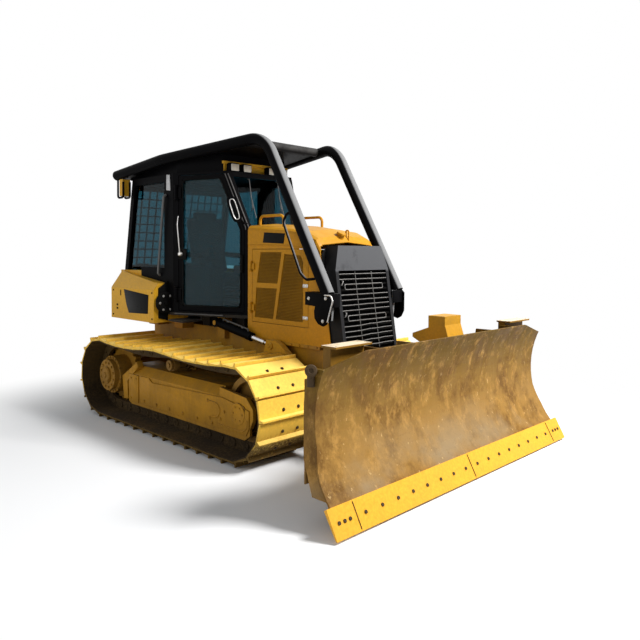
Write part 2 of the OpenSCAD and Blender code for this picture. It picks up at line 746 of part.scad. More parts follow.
module drawbar() {
  color("gold") difference() {
    union() {
      block(-1600, hull_x0, -150, 150, 540, 700);
      block(drawbar_end + 70, -1590, -70, 70, 570, 600);
      block(drawbar_end + 70, -1590, -70, 70, 650, 680);
      for (z = [570, 650]) translate([drawbar_end + 70, 0, z]) cylinder(h = 30, r = 70);
    }
    translate([drawbar_end + 70, 0, 500]) cylinder(h = 300, r = 22);
  }
}

// Window outline of a cab door
door_light = [[120, floor_z + 76], [door_len - 110, floor_z + 76], [door_len - 110, knee_z - 22],
  [top_u - 108, eave_z - 72], [120, eave_z - 72]];

module cab_door() {
  color([0.12, 0.12, 0.12]) {
    door_plane() translate([0, -22, 0]) across(40) difference() {
      polygon([[76, floor_z + 26], [door_len - 66, floor_z + 26], [door_len - 66, knee_z - 12],
        [top_u - 64, eave_z - 31], [76, eave_z - 31]]);
      polygon(door_light);
    }
    difference() {
      union() for (z = door_hinges) door_plane() {
        translate([hinge_u, hinge_out, z]) cylinder(h = 120, r = hinge_r - 1);
        block(hinge_u, 110, -10, hinge_out - 8, z, z + 120);
      }
      for (z = door_hinges) door_plane() {
        translate([hinge_u, hinge_out, z - 1]) cylinder(h = 122, r = pin_r + 0.05);
        block(hinge_u - 22, 76, -30, 0.5, z - 1, z + 121);
      }
    }
  }
}

module door_glass() {
  color([0.25, 0.4, 0.45, 0.6]) door_plane() translate([0, -22, 0]) across(glass_t)
    polygon(door_light);
}

module c_arm() {
  color("gold") difference() {
    across(arm_t) polygon([[345, 440], [400, 390], [480, nose_z - 5], [nose_x, nose_z], [nose_x,
      angle_z - 40],
      [nose_x - 60, angle_z - 40], [nose_x - 180, 720], [lift_pin_x + 140, lift_pin_z + 25],
      [lift_pin_x + 70, lift_pin_z + 55], [lift_pin_x - 60, lift_pin_z + 55], [lift_pin_x - 90,
        lift_pin_z - 55],
      [lift_pin_x - 220, lift_pin_z - 215], [345, 520]]);
    pin_y(pivot_x, -100, 100, pivot_z, 45.05);
    block(lift_pin_x - 75, lift_pin_x + 75, -arm_t / 2 + 12, arm_t / 2 - 12, lift_pin_z - 75,
      lift_pin_z + 90);
    block(lift_pin_x - 200, lift_pin_x, -arm_t / 2 + 12, arm_t / 2 - 12, lift_pin_z - 60, lift_pin_z + 90);
  }
  color("gold") pin_y(lift_pin_x, -arm_t / 2, arm_t / 2, lift_pin_z, 20);
}

// Half widths of the C-frame's front, outside and inside
nose_half_w = arm_y + arm_t / 2;
nose_in = nose_half_w - 84;
nose_z = 390;

module c_nose() {
  color("gold") difference() {
    union() {
      translate([0, 0, nose_z]) linear_extrude(115) difference() {
        polygon([[nose_x, -nose_half_w], [nose_x + 380, -nose_half_w], [king_x - 96, -110],
          [king_x - 96, 110],
          [nose_x + 380, nose_half_w], [nose_x, nose_half_w]]);
        polygon([[nose_x - 1, -nose_in], [nose_x + 350, -nose_in], [king_x - 240, -60], [king_x - 240, 60],
          [nose_x + 350, nose_in], [nose_x - 1, nose_in]]);
      }
      block(king_x - 230, king_x, -90, 90, king_z - 55, king_z + 55);
      translate([king_x, 0, king_z - 55]) cylinder(h = 110, r = 90);
      both() translate([angle_base_x, angle_base_y, nose_z + 10])
        cylinder(h = angle_z + 20 - nose_z, r = 24.95);
    }
    translate([king_x, 0, king_z - 200]) cylinder(h = 400, r = 45.05);
  }
}

// Cylinder direction and length in the XZ plane for the lift pair
lift_vec = [lift_pin_x - lift_base_x, 0, lift_pin_z - lift_base_z];
lift_len = norm(lift_vec);
lift_dip = atan2(lift_base_z - lift_pin_z, lift_pin_x - lift_base_x);

module lift_barrels() {
  color([0.12, 0.12, 0.12]) both() translate([lift_base_x, arm_y, lift_base_z]) rotate([0, lift_dip, 0])
    difference() {
      union() {
        pin_y(0, -40, 40, 0, 46);
        pin_x(20, 560, 0, 0, 42);
        pin_x(520, 575, 0, 0, 45);
      }
      pin_y(0, -60, 60, 0, 25);
      pin_x(60, 600, 0, 0, 25.05);
    }
}

module lift_rods() {
  color("silver") both() translate([lift_base_x, arm_y, lift_base_z]) rotate([0, lift_dip,
    0]) difference() {
    union() {
      pin_x(lift_len - 640, lift_len - 115, 0, 0, 25);
      pin_x(lift_len - 120, lift_len - 42, 0, 0, 15);
      pin_y(lift_len, -16, 16, 0, 20 + eye_play + 20);
    }
    pin_y(lift_len, -40, 40, 0, 20 + eye_play);
  }
}

angle_vec = [blade_pin_x - angle_base_x, angle_pin_y - angle_base_y];
angle_len = norm(angle_vec);
angle_yaw = atan2(angle_vec[1], angle_vec[0]);

module angle_barrel() {
  color([0.12, 0.12, 0.12]) translate([angle_base_x, angle_base_y, angle_z]) rotate([0, 0,
    angle_yaw]) difference() {
    union() {
      translate([0, 0, -28]) cylinder(h = 56, r = 45);
      pin_x(20, 470, 0, 0, 34);
    }
    translate([0, 0, -60]) cylinder(h = 120, r = 25);
    pin_x(60, 500, 0, 0, 20.05);
  }
}

module angle_rod() {
  color("silver") translate([angle_base_x, angle_base_y, angle_z]) rotate([0, 0, angle_yaw]) difference() {
    union() {
      pin_x(angle_len - 570, angle_len - 68, 0, 0, 20);
      translate([angle_len, 0, -24]) cylinder(h = 48, r = 80);
    }
    translate([angle_len, 0, -60]) cylinder(h = 120, r = 60);
  }
}

// Moldboard face: arc through its lower edge, its deepest point and its top
edge_x = blade_tip_x - 118;
edge_z = blade_gap + 165;
face_mid = circle_mid([edge_x, edge_z], [blade_tip_x - 302, 640], [blade_tip_x - 205, 1085]);
face_r = norm(face_mid - [edge_x, edge_z]);
face_a0 = atan2(edge_z - face_mid[1], edge_x - face_mid[0]);
face_a1 = asin((blade_top_z - face_mid[1]) / face_r);
function face_pt(t, r) = let (b = 180 - face_a1,
  a = (face_a0 < 0 ? face_a0 + 360 : face_a0) * (1 - t) + b * t)
  [face_mid[0] + r * cos(a), face_mid[1] + r * sin(a)];
face_n = 14;
// Forward position just inside the plate at a height
function plate_x(z) = face_mid[0] - sqrt(pow(face_r, 2) - pow(z - face_mid[1], 2)) - board_t / 3;

module board_profile() {
  polygon(concat([for (i = [0:face_n]) face_pt(i / face_n, face_r)],
    [for (i = [face_n:-1:0]) face_pt(i / face_n, face_r + board_t)]));
}

// Front outline of the moldboard
mold_half = blade_width / 2 - 60;
waist_half = mold_half - 47;
shelf_half = waist_half - 8;
mast_y0 = waist_half - 528;
mast_y1 = mast_y0 + 380;
shelf_z = 800;
sill_z = 380;
module board_outline() {
  polygon([[-mold_half, 100], [-mold_half, 330], [-waist_half, 520], [-waist_half, blade_top_z - 95],
    [-waist_half + 383, blade_top_z + 5], [waist_half - 383, blade_top_z + 5], [waist_half,
      blade_top_z - 95], [waist_half, 520],
    [mold_half, 330], [mold_half, 100]]);
}

back_x = blade_tip_x - 410;
module moldboard() {
  color("goldenrod") difference() {
    union() {
      intersection() {
        union() {
          across(2 * mold_half) board_profile();
          across(2 * mold_half) polygon([edge_a, edge_a + 95 * edge_d, edge_a + 95 * edge_d - 18 * edge_n,
            edge_a - 24 * edge_n, edge_a - 10 * edge_n - 20 * edge_d]);
          both() for (y = [waist_half - 12, mast_y0 - 20, 580]) translate([0, y, 0]) across(20)
            polygon(concat(
            [for (i = [0:face_n]) face_pt(i / face_n, face_r + 2)],
            [[back_x + 55, blade_top_z], [back_x, shelf_z], [back_x, sill_z + 40], [back_x + 80, edge_z]]));
          block(back_x, plate_x(shelf_z), -shelf_half, shelf_half, shelf_z, shelf_z + 30);
          block(back_x, plate_x(sill_z + 30), -shelf_half, shelf_half, sill_z, sill_z + 30);
          block(back_x, back_x + 12, -shelf_half, shelf_half, shelf_z, shelf_z + 160);
          block(back_x, back_x + 12, -shelf_half, shelf_half, sill_z - 130, sill_z + 30);
        }
        along(back_x - 100, blade_tip_x + 100) board_outline();
      }
      // tilt hub, cylinder lugs
      pin_x(back_x - 5, plate_x(king_z + 105), 0, king_z, 105);
      both() for (z = [angle_z - 20 - lug_gap - 26, angle_z + 20 + lug_gap]) {
        translate([blade_pin_x, angle_pin_y, z]) cylinder(h = 26, r = 50);
        block(blade_pin_x, plate_x(z + 26), angle_pin_y - 50, angle_pin_y + 50, z, z + 26);
      }
      both() translate([blade_pin_x, angle_pin_y, angle_z - 30 - lug_gap])
        cylinder(h = 60 + 2 * lug_gap, r = 20);
      for (x = [tilt_x - 46, tilt_x + 26]) block(x, x + 20, -tilt_y1 - 60, -tilt_y1 + 40, tilt_z - 60,
        tilt_z + 60);
      block(tilt_x + 26, plate_x(tilt_z - 60), -tilt_y1 - 60, -tilt_y1 + 40, tilt_z - 60, tilt_z - 30);
      block(tilt_x - 46, tilt_x + 46, -tilt_y1 - 60, -tilt_y1 - 45, tilt_z - 60, tilt_z + 60);
      pin_x(tilt_x - 40, tilt_x + 40, -tilt_y1, tilt_z, 16);
    }
    pin_x(back_x - 100, back_x + 80, 0, king_z, 55.05);
  }
}

edge_a = [edge_x, edge_z];
edge_d = ([blade_tip_x - 12, blade_gap] - edge_a) / norm([blade_tip_x - 12, blade_gap] - edge_a);
edge_n = [-edge_d[1], edge_d[0]];

module cutting_edges() {
  half = blade_width / 2;
  color("gold") both() for (r = [[1, half - 242], [half - 240, half]])
    translate([0, (r[0] + r[1]) / 2, 0]) across(r[1] - r[0])
      polygon([edge_a + gap * edge_n, edge_a + 25 * edge_n,
      [blade_tip_x, blade_gap], [blade_tip_x - 12 + gap, blade_gap]]);
}

module mast_brackets() {
  top = blade_top_z + 40;
  color("goldenrod") both() {
    difference() {
      block(back_x + 18, back_x + 156, mast_y0, mast_y1, top - 15, top);
      for (x = [40, 132], y = [mast_y0 + 28, mast_y1 - 28]) translate([back_x + x, y,
        top - 20]) cylinder(h = 30, r = 9);
    }
    block(back_x + 26, plate_x(shelf_z) - board_t, mast_y0 + 15, mast_y1 - 15, shelf_z + 30, top - 14);
  }
}

// Tilt cylinder pins
tilt_x = back_x - 60;
tilt_z = 905;
tilt_y0 = 120;
tilt_y1 = 440;
// Head of the blade tower
head_y0 = 240;
head_y1 = 495;
head_top = 1255;

module blade_tower() {
  color("gold") {
    // clevis round the king pin
    translate([king_x, 0, king_z - 55 - 42]) cylinder(h = 40, r = 88);
    translate([king_x, 0, king_z + 57]) cylinder(h = 40, r = 88);
    translate([king_x, 0, king_z - 80]) cylinder(h = 170, r = 45);
    block(king_x, king_x + 135, -88, 88, king_z - 97, king_z - 57);
    block(king_x, king_x + 135, -88, 88, king_z + 57, king_z + 97);
    block(king_x + 100, king_x + 140, -88, 88, king_z - 97, king_z + 97);
    pin_x(king_x + 135, back_x + 70, 0, king_z, 55);
    // post and head
    block(king_x - 60, king_x + 60, -60, 60, king_z + 90, 1010);
    translate([0, (head_y0 + head_y1) / 2, 0]) across(head_y1 - head_y0) polygon([[king_x - 60, 1000],
      [king_x - 60, head_top], [king_x + 110, head_top], [king_x + 110, head_top - 75], [king_x + 145,
        head_top - 185],
      [king_x + 145, 1000]]);
    translate([0, head_y0 + 30, 0]) across(60) polygon([[king_x - 55, 1000], [king_x - 55, head_top - 105],
      [king_x - 230, head_top - 170], [king_x - 230, head_top - 205], [king_x - 130, 1000]]);
    pin_x(tilt_x - 60, tilt_x + 40, tilt_y0, tilt_z, 19.95);
    block(king_x - 60, tilt_x - 36, tilt_y0 - 40, tilt_y0 + 40, tilt_z - 40, 1010);
    block(king_x - 60, king_x + 60, 0, head_y1, tilt_z - 40, 1010);
  }
}

tilt_len = tilt_y0 + tilt_y1;
module tilt_barrel() {
  color([0.12, 0.12, 0.12]) difference() {
    union() {
      pin_x(tilt_x - 31, tilt_x + 31, tilt_y0, tilt_z, 40);
      pin_y(tilt_x, tilt_y0 - 340, tilt_y0 - 15, tilt_z, 34);
    }
    pin_x(tilt_x - 60, tilt_x + 60, tilt_y0, tilt_z, 20);
    pin_y(tilt_x, tilt_y0 - 360, tilt_y0 - 60, tilt_z, 18.05);
  }
}

module tilt_rod() {
  color("silver") difference() {
    union() {
      pin_y(tilt_x, -tilt_y1 + 36, -tilt_y1 + 370, tilt_z, 18);
      pin_x(tilt_x - 20, tilt_x + 20, -tilt_y1, tilt_z, 40);
    }
    pin_x(tilt_x - 60, tilt_x + 60, -tilt_y1, tilt_z, 16 + eye_play);
  }
}

placed() main_frame();
placed() pivot_shaft();
placed() equalizer_bar();
placed() right(track_y) track_frame();  // track_frame_right
placed() left(track_y) track_frame();  // track_frame_left
placed() right(track_y) track_loop();  // track_right
placed() left(track_y) track_loop();  // track_left
placed() right(track_y) sprocket();  // sprocket_right
placed() left(track_y) sprocket();  // sprocket_left
placed() right(track_y) idler();  // idler_right
placed() left(track_y) idler();  // idler_left
placed() right(track_y) rollers();  // rollers_right
placed() left(track_y) rollers();  // rollers_left
placed() engine();
placed() radiator_core();
placed() radiator_guard();
placed() grille();
placed() hood();
placed() platform();
placed() side_tanks();
placed() fuel_tank();
placed() cab_frame();
placed() cab_roof();
placed() cab_glass();
placed() cab_screens();
placed() seat();
placed() console();
placed() front_lamps();
placed() rear_lamps();
placed() right(0) sweep();  // sweep_right
placed() left(0) sweep();  // sweep_left
placed() sweep_cross();
placed() handrails();
placed() drawbar();
placed() right(0) cab_door();  // cab_door_right
placed() right(0) door_glass();  // door_glass_right
placed() left(0) cab_door();  // cab_door_left
placed() left(0) door_glass();  // door_glass_left
placed() right(0) engine_door();  // engine_door_right
placed() left(0) engine_door();  // engine_door_left
placed() right(arm_y) c_arm();  // c_arm_right
placed() left(arm_y) c_arm();  // c_arm_left
placed() c_nose();
placed() lift_barrels();
placed() lift_rods();
placed() right(0) angle_barrel();  // angle_barrel_right
placed() right(0) angle_rod();  // angle_rod_right
placed() left(0) angle_barrel();  // angle_barrel_left
placed() left(0) angle_rod();  // angle_rod_left
placed() blade_tower();
placed() tilt_barrel();
placed() tilt_rod();
placed() moldboard();
placed() cutting_edges();
placed() mast_brackets();
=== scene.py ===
import math
import bpy
import bmesh
from mathutils import Matrix, Vector


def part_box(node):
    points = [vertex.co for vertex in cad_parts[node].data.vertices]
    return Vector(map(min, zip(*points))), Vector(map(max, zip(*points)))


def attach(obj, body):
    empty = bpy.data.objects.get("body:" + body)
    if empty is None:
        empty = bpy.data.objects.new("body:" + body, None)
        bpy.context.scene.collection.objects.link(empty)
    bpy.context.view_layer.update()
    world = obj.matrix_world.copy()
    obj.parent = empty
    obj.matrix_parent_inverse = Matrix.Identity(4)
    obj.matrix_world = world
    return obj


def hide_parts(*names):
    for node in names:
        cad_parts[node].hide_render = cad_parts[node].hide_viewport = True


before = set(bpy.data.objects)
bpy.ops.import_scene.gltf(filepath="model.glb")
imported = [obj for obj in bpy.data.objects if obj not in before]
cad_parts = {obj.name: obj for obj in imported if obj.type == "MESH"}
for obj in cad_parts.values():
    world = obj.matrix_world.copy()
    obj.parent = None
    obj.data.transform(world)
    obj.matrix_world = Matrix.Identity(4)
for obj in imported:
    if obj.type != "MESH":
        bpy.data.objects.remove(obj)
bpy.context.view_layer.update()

# Camera: a hand-held view of the machine's front right corner from about seven metres,
# at eye height, framed a little off the lens axis.
eye = bpy.data.cameras.new("eye")
eye.lens = 36.24
eye.sensor_width = 36.0
eye.shift_x = 0.0245
eye.shift_y = -0.0808
eye.clip_end = 100
eye_stand = bpy.data.objects.new("eye", eye)
bpy.context.scene.collection.objects.link(eye_stand)
yaw, pitch, roll = math.radians(135.367), math.radians(-1.389), math.radians(0.179)
look = Vector((math.cos(yaw) * math.cos(pitch), math.sin(yaw) * math.cos(pitch), math.sin(pitch)))
right_hand = look.cross(Vector((0, 0, 1))).normalized()
crown = right_hand.cross(look)
right_hand, crown = (right_hand * math.cos(roll) + crown * math.sin(roll),
                     crown * math.cos(roll) - right_hand * math.sin(roll))
eye_place = Vector((4.9018, -4.5504, 1.8079))
eye_stand.matrix_world = Matrix((
    (right_hand.x, crown.x, -look.x, eye_place.x), (right_hand.y, crown.y, -look.y, eye_place.y),
    (right_hand.z, crown.z, -look.z, eye_place.z), (0, 0, 0, 1)))
bpy.context.scene.camera = eye_stand

# Studio: a pale floor that runs out into a white surround, one large soft key from the
# machine's front left and a weak fill on its right side.
bpy.context.scene.view_settings.view_transform = "Standard"


def feed(tree, made, sockets):
    # a socket in the list is linked, any other value is set
    for key, value in sockets.items():
        if isinstance(value, bpy.types.NodeSocket):
            tree.links.new(value, made.inputs[key])
        else:
            made.inputs[key].default_value = value
    return made


def node(tree, kind, sockets=None, **settings):
    made = tree.nodes.new("ShaderNode" + kind)
    for key, value in settings.items():
        setattr(made, key, value)
    return feed(tree, made, sockets or {})


def seen_rays(tree):
    path = node(tree, "LightPath")
    total = path.outputs["Is Camera Ray"]
    for ray in ("Is Glossy Ray", "Is Transmission Ray"):
        total = node(tree, "Math", {0: total, 1: path.outputs[ray]}, use_clamp=True).outputs[0]
    return total


def new_paint(name):
    paint = bpy.data.materials.new(name)
    paint.use_nodes = True
    return paint, paint.node_tree, paint.node_tree.nodes["Principled BSDF"]


def object_place(tree):
    had = [made for made in tree.nodes if made.type == "TEX_COORD"]
    return (had[0] if had else node(tree, "TexCoord")).outputs["Object"]


surround = bpy.data.worlds.new("surround")
bpy.context.scene.world = surround
surround.use_nodes = True
sky = surround.node_tree
sky.nodes.clear()
sky_fill = node(sky, "Background", {"Color": (0.92, 0.96, 1.0, 1), "Strength": 0.36})
sky_white = node(sky, "Background", {"Color": (1, 1, 1, 1), "Strength": 1.0})
sky_mix = node(sky, "MixShader", {"Fac": seen_rays(sky), 1: sky_fill.outputs[0], 2: sky_white.outputs[0]})
node(sky, "OutputWorld", {"Surface": sky_mix.outputs[0]})
floor_half, floor_drop = 40.0, 0.001
fade_near, fade_far = 2.4, 4.6
floor_mesh = bpy.data.meshes.new("floor")
floor_mesh.from_pydata([(x * floor_half, y * floor_half, -floor_drop) for x, y in
                        ((-1, -1), (1, -1), (1, 1), (-1, 1))], [], [(0, 1, 2, 3)])
floor = bpy.data.objects.new("floor", floor_mesh)
bpy.context.scene.collection.objects.link(floor)
floor_paint, floor_tree, floor_coat = new_paint("pale_floor")
feed(floor_tree, floor_coat, {"Base Color": (0.87, 0.87, 0.87, 1), "Roughness": 0.9,
                              "Specular IOR Level": 0.0})
floor_reach = node(floor_tree, "VectorMath", {0: object_place(floor_tree)},
                   operation="LENGTH").outputs["Value"]
floor_fade = node(floor_tree, "MapRange", {"Value": floor_reach, "From Min": fade_near, "From Max": fade_far},
                  interpolation_type="SMOOTHSTEP").outputs["Result"]
floor_seen = node(floor_tree, "Math", {0: floor_fade, 1: seen_rays(floor_tree)},
                  operation="MULTIPLY").outputs[0]
floor_white = node(floor_tree, "Emission").outputs[0]
floor_mix = node(floor_tree, "MixShader", {"Fac": floor_seen, 1: floor_coat.outputs[0], 2: floor_white})
feed(floor_tree, floor_tree.nodes["Material Output"], {"Surface": floor_mix.outputs[0]})
floor_mesh.materials.append(floor_paint)
for lamp_name, place, aim, size, power in (
        ("key", (6.5, 2.5, 7.0), (0.4, 0, 1.0), 2.6, 1300),
        ("side_fill", (-1.5, -8.0, 3.0), (-0.5, 0, 1.0), 5.0, 110)):
    lamp = bpy.data.lights.new(lamp_name, "AREA")
    lamp.size = size
    lamp.energy = power
    lamp_stand = bpy.data.objects.new(lamp_name, lamp)
    bpy.context.scene.collection.objects.link(lamp_stand)
    lamp_stand.location = place
    lamp_stand.rotation_euler = (Vector(aim) - Vector(place)).to_track_quat("-Z", "Y").to_euler()


# Main frame, axle bars and drawbar: welded and machined steel plate in the machine's yellow
# enamel, dusty all over and muddy towards the ground. Cap screws hold the engine deck.
def noise(tree, scale, detail, broken, stretch=(1, 1, 1), twist=0.0):
    lay = node(tree, "Mapping", {"Vector": object_place(tree), "Scale": stretch}).outputs["Vector"]
    return node(tree, "TexNoise", {"Vector": lay, "Scale": scale, "Detail": detail, "Roughness": broken,
                                   "Distortion": twist}).outputs["Fac"]


def height(tree):
    return node(tree, "SeparateXYZ", {0: object_place(tree)}).outputs["Z"]


def span(tree, value, low, high, out_low=0.0, out_high=1.0):
    return node(tree, "MapRange", {"Value": value, "From Min": low, "From Max": high, "To Min": out_low,
                                   "To Max": out_high}).outputs["Result"]


def both_of(tree, kind, a, b):
    return node(tree, "Math", {0: a, 1: b}, operation=kind, use_clamp=True).outputs[0]


def along(tree, a, b):
    return node(tree, "VectorMath", {0: a, 1: b}, operation="DOT_PRODUCT").outputs["Value"]


def over(tree, under, cover, share):
    # sockets 6 and 7 are the two colours of the mix, output 2 its colour
    under, cover = ((*c, 1) if isinstance(c, tuple) else c for c in (under, cover))
    return node(tree, "Mix", {"Factor": share, 6: under, 7: cover}, data_type="RGBA").outputs[2]


def enamel(name, colour, grime_and_shade, rough=0.42, metal=0.0, dirt=0.5, low_dark=0.0, low_dark_top=1.0, grain=5.0, bump=0.12,
           chips=0.3, chip=(0.05, 0.035, 0.02), soft=0.004, streak=0.35, gloss=0.14, dust_and_light=0.0,
           pale=(0.62, 0.50, 0.33), dust_and_light_way=(0, 0, 1), turned_to=(0.6, 0.95), patches=(0.36, 0.58),
           dust_and_light_above=0.0):
    paint, tree, coat = new_paint(name)
    fine = noise(tree, grain * 9, 5, 0.6)
    blotches = span(tree, noise(tree, grain * 0.4, 7, 0.62), 0.38, 0.72, 0.0, dirt)
    runs = span(tree, noise(tree, grain * 1.6, 4, 0.55, (4.0, 4.0, 0.5)), 0.5, 0.78, 0.0, dirt * streak)
    dirt_and_low_dark = both_of(tree, "ADD", blotches, runs)
    # Darker towards the ground below the given height: mud on most materials, mud and painted shadow on the
    # track shoes.
    if low_dark:
        low = span(tree, height(tree), low_dark_top, low_dark_top * 0.2, 0.0, low_dark)
        low_dark_share = both_of(tree, "MULTIPLY", low, span(tree, fine, 0.3, 0.62, 0.35, 1.0))
        dirt_and_low_dark = both_of(tree, "ADD", dirt_and_low_dark, low_dark_share)
    darker, lighter = tuple(c * 0.9 for c in colour), tuple(min(1, c * 1.08) for c in colour)
    shade = over(tree, over(tree, darker, lighter, span(tree, fine, 0.35, 0.65)), grime_and_shade, dirt_and_low_dark)
    rounded = node(tree, "Bevel", {"Radius": soft}, samples=3).outputs[0]
    facing = node(tree, "NewGeometry").outputs["Normal"]
    # Faces turned to the given direction take the pale colour: settled dust on most materials, worn paint and
    # painted sunlight on the shoes' tops, painted highlights on the sweep tubes, cross tube and guard front.
    if dust_and_light:
        upward = span(tree, along(tree, facing, dust_and_light_way), *turned_to, 0.0, dust_and_light)
        dust_and_light_share = both_of(tree, "MULTIPLY", upward, span(tree, noise(tree, grain * 1.2, 6, 0.65), *patches))
        if dust_and_light_above:
            level = span(tree, height(tree), dust_and_light_above - 0.01, dust_and_light_above + 0.01, 0.12, 1.0)
            dust_and_light_share = both_of(tree, "MULTIPLY", dust_and_light_share, level)
        shade = over(tree, shade, pale, dust_and_light_share)
    if chips:
        rim = span(tree, along(tree, rounded, facing), 0.99, 0.8)
        spots = span(tree, noise(tree, grain * 3.5, 4, 0.6), 0.45, 0.6, 0.0, chips)
        shade = over(tree, shade, chip, both_of(tree, "MULTIPLY", rim, spots))
    dull = span(tree, dirt_and_low_dark, 0, 1, rough, min(0.95, rough + 0.4))
    hump = node(tree, "Bump", {"Strength": bump, "Distance": 0.004, "Height": fine, "Normal": rounded})
    feed(tree, coat, {"Base Color": shade, "Metallic": metal, "Specular IOR Level": gloss,
                      "Roughness": both_of(tree, "ADD", dull, span(tree, fine, 0.3, 0.7, -0.05, 0.08)),
                      "Normal": hump.outputs[0]})
    return paint


def dress(material, *names):
    for name in names:
        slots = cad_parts[name].data.materials
        for i in range(len(slots)):
            slots[i] = material
        if not len(slots):
            slots.append(material)


def take_in(bm, part, place):
    part.transform(place)
    spare = bpy.data.meshes.new("spare")
    part.to_mesh(spare)
    part.free()
    bm.from_mesh(spare)
    bpy.data.meshes.remove(spare)


def bolt(bm, place, r=0.011, h=0.009):
    part = bmesh.new()
    washer, head = (14, r * 1.4, r * 1.35, 0.0, h * 0.3), (6, r, r * 0.9, h * 0.3, h * 0.7)
    for corners, low_r, high_r, foot, tall in (washer, head):
        bmesh.ops.create_cone(part, cap_ends=True, segments=corners, radius1=low_r, radius2=high_r,
                              depth=tall, matrix=Matrix.Translation((0, 0, foot + tall / 2)))
    take_in(bm, part, place)


def piece(name, bm, material, body, crease=35):
    bmesh.ops.recalc_face_normals(bm, faces=bm.faces[:])
    mesh = bpy.data.meshes.new(name)
    bm.to_mesh(mesh)
    bm.free()
    mesh.shade_smooth()
    mesh.set_sharp_from_angle(angle=math.radians(crease))
    mesh.materials.append(material)
    made = bpy.data.objects.new(name, mesh)
    bpy.context.scene.collection.objects.link(made)
    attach(made, body)
    return made


mid_track = (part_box("track_right")[0][0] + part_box("track_right")[1][0]) / 2
sides = (("right", -1), ("left", 1))


def flank(s, out, x=0.0, z=0.0):
    # places (forward, up, outward) on the machine's side s, counted from x, z and out
    return Matrix(((1, 0, 0, mid_track + x), (0, 0, s, s * out), (0, 1, 0, z), (0, 0, 0, 1)))


hull_enamel = enamel("hull_enamel", (0.50, 0.235, 0.012), (0.22, 0.13, 0.05), dirt=0.75, low_dark=0.7, low_dark_top=0.8)
dress(hull_enamel, "main_frame", "pivot_shaft", "equalizer_bar", "drawbar")
deck_half, deck_edge_z = 0.390, 0.945
screw_x, screw_pitch, screw_count = 1.06, 0.112, 4
for name, s in sides:
    screws = bmesh.new()
    for i in range(screw_count):
        bolt(screws, flank(s, deck_half, screw_x + i * screw_pitch, deck_edge_z))
    piece("deck_screws_" + name, screws, hull_enamel, "tractor")


# Track frames: welded box rails with bolted side covers, a casting that guards the sprocket
# at the rear end and a round keeper on the idler shaft. Yellow enamel under dry mud.
def slab(bm, outline, thick, place, edge=0.003):
    part = bmesh.new()
    low = [part.verts.new((u, v, 0)) for u, v in outline]
    high = [part.verts.new((u, v, thick)) for u, v in outline]
    part.faces.new(low[::-1])
    rim = part.faces.new(high).edges[:]
    for i in range(len(outline)):
        j = (i + 1) % len(outline)
        part.faces.new((low[i], low[j], high[j], high[i]))
    if edge:
        bmesh.ops.bevel(part, geom=rim, offset=edge, segments=2, affect="EDGES", profile=0.5)
    take_in(bm, part, place)


def turned(bm, profile, place, around=32):
    part = bmesh.new()
    rings = []
    for r, z in profile:
        turns = [0.0] if r < 1e-6 else [2 * math.pi * k / around for k in range(around)]
        rings.append([part.verts.new((r * math.cos(a), r * math.sin(a), z)) for a in turns])
    for a, b in zip(rings, rings[1:]):
        for k in range(around):
            j = (k + 1) % around
            corners = [a[k % len(a)], a[j % len(a)], b[j % len(b)], b[k % len(b)]]
            part.faces.new(list(dict.fromkeys(corners)))
    take_in(bm, part, place)


def bent_bar(bm, points, place, r, corner=0.03, around=12, steps=6):
    points = [place @ Vector(p) for p in points]
    line = [points[0]]
    for a, c, b in zip(points, points[1:], points[2:]):
        d1, d2 = (c - a).normalized(), (b - c).normalized()
        turn = d1.angle(d2)
        if turn < 0.02:
            line.append(c)
            continue
        trim = min(corner * math.tan(turn / 2), 0.48 * (c - a).length, 0.48 * (b - c).length)
        bend = trim / math.tan(turn / 2)
        hub = c + (d2 - d1).normalized() * (bend / math.cos(turn / 2))
        axis = d1.cross(d2).normalized()
        start = c - d1 * trim - hub
        line += [hub + Matrix.Rotation(turn * k / steps, 3, axis) @ start for k in range(steps + 1)]
    line.append(points[-1])
    ring, hold = None, None
    for i, p in enumerate(line):
        run = (line[min(i + 1, len(line) - 1)] - line[max(i - 1, 0)]).normalized()
        hold = run.orthogonal().normalized() if hold is None else (hold - run * hold.dot(run)).normalized()
        lift = run.cross(hold)
        fresh = [bm.verts.new(p + r * (math.cos(a) * hold + math.sin(a) * lift))
                 for a in (2 * math.pi * k / around for k in range(around))]
        if ring is None:
            bm.faces.new(fresh[::-1])
        else:
            for k in range(around):
                j = (k + 1) % around
                bm.faces.new((ring[k], ring[j], fresh[j], fresh[k]))
        ring = fresh
    bm.faces.new(ring)


def bolt_ring(bm, hub, count, ring_r, r, h, first=0.0):
    for i in range(count):
        a = 2 * math.pi * (i + first) / count
        bolt(bm, hub @ Matrix.Translation((ring_r * math.cos(a), ring_r * math.sin(a), 0)), r, h)


rail_enamel = enamel("rail_enamel", (0.46, 0.215, 0.008), (0.14, 0.075, 0.018), dirt=0.55, low_dark=0.7,
                     low_dark_top=0.40, chips=0.5, dust_and_light=0.8, pale=(0.13, 0.085, 0.035))
dress(rail_enamel, "track_frame_right", "track_frame_left")
rail_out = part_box("track_frame_left")[1][1]
cover_thick, rear_thick, guard_thick = 0.010, 0.014, 0.070
cover_front = [(-0.550, 0.222), (1.20, 0.235), (1.24, 0.30), (1.24, 0.455), (1.05, 0.49), (0.86, 0.514),
               (-0.30, 0.470), (-0.36, 0.512), (-0.550, 0.512)]
cover_rear = [(-0.755, 0.222), (-0.566, 0.222), (-0.566, 0.512), (-0.755, 0.512)]
sprocket_guard = [(-0.905, 0.470), (-0.70, 0.585), (-0.61, 0.655), (-0.572, 0.60), (-0.64, 0.545),
                  (-0.80, 0.43), (-0.775, 0.235), (-0.873, 0.222)]
keeper_x, keeper_z, keeper_r = 1.09, 0.405, 0.085
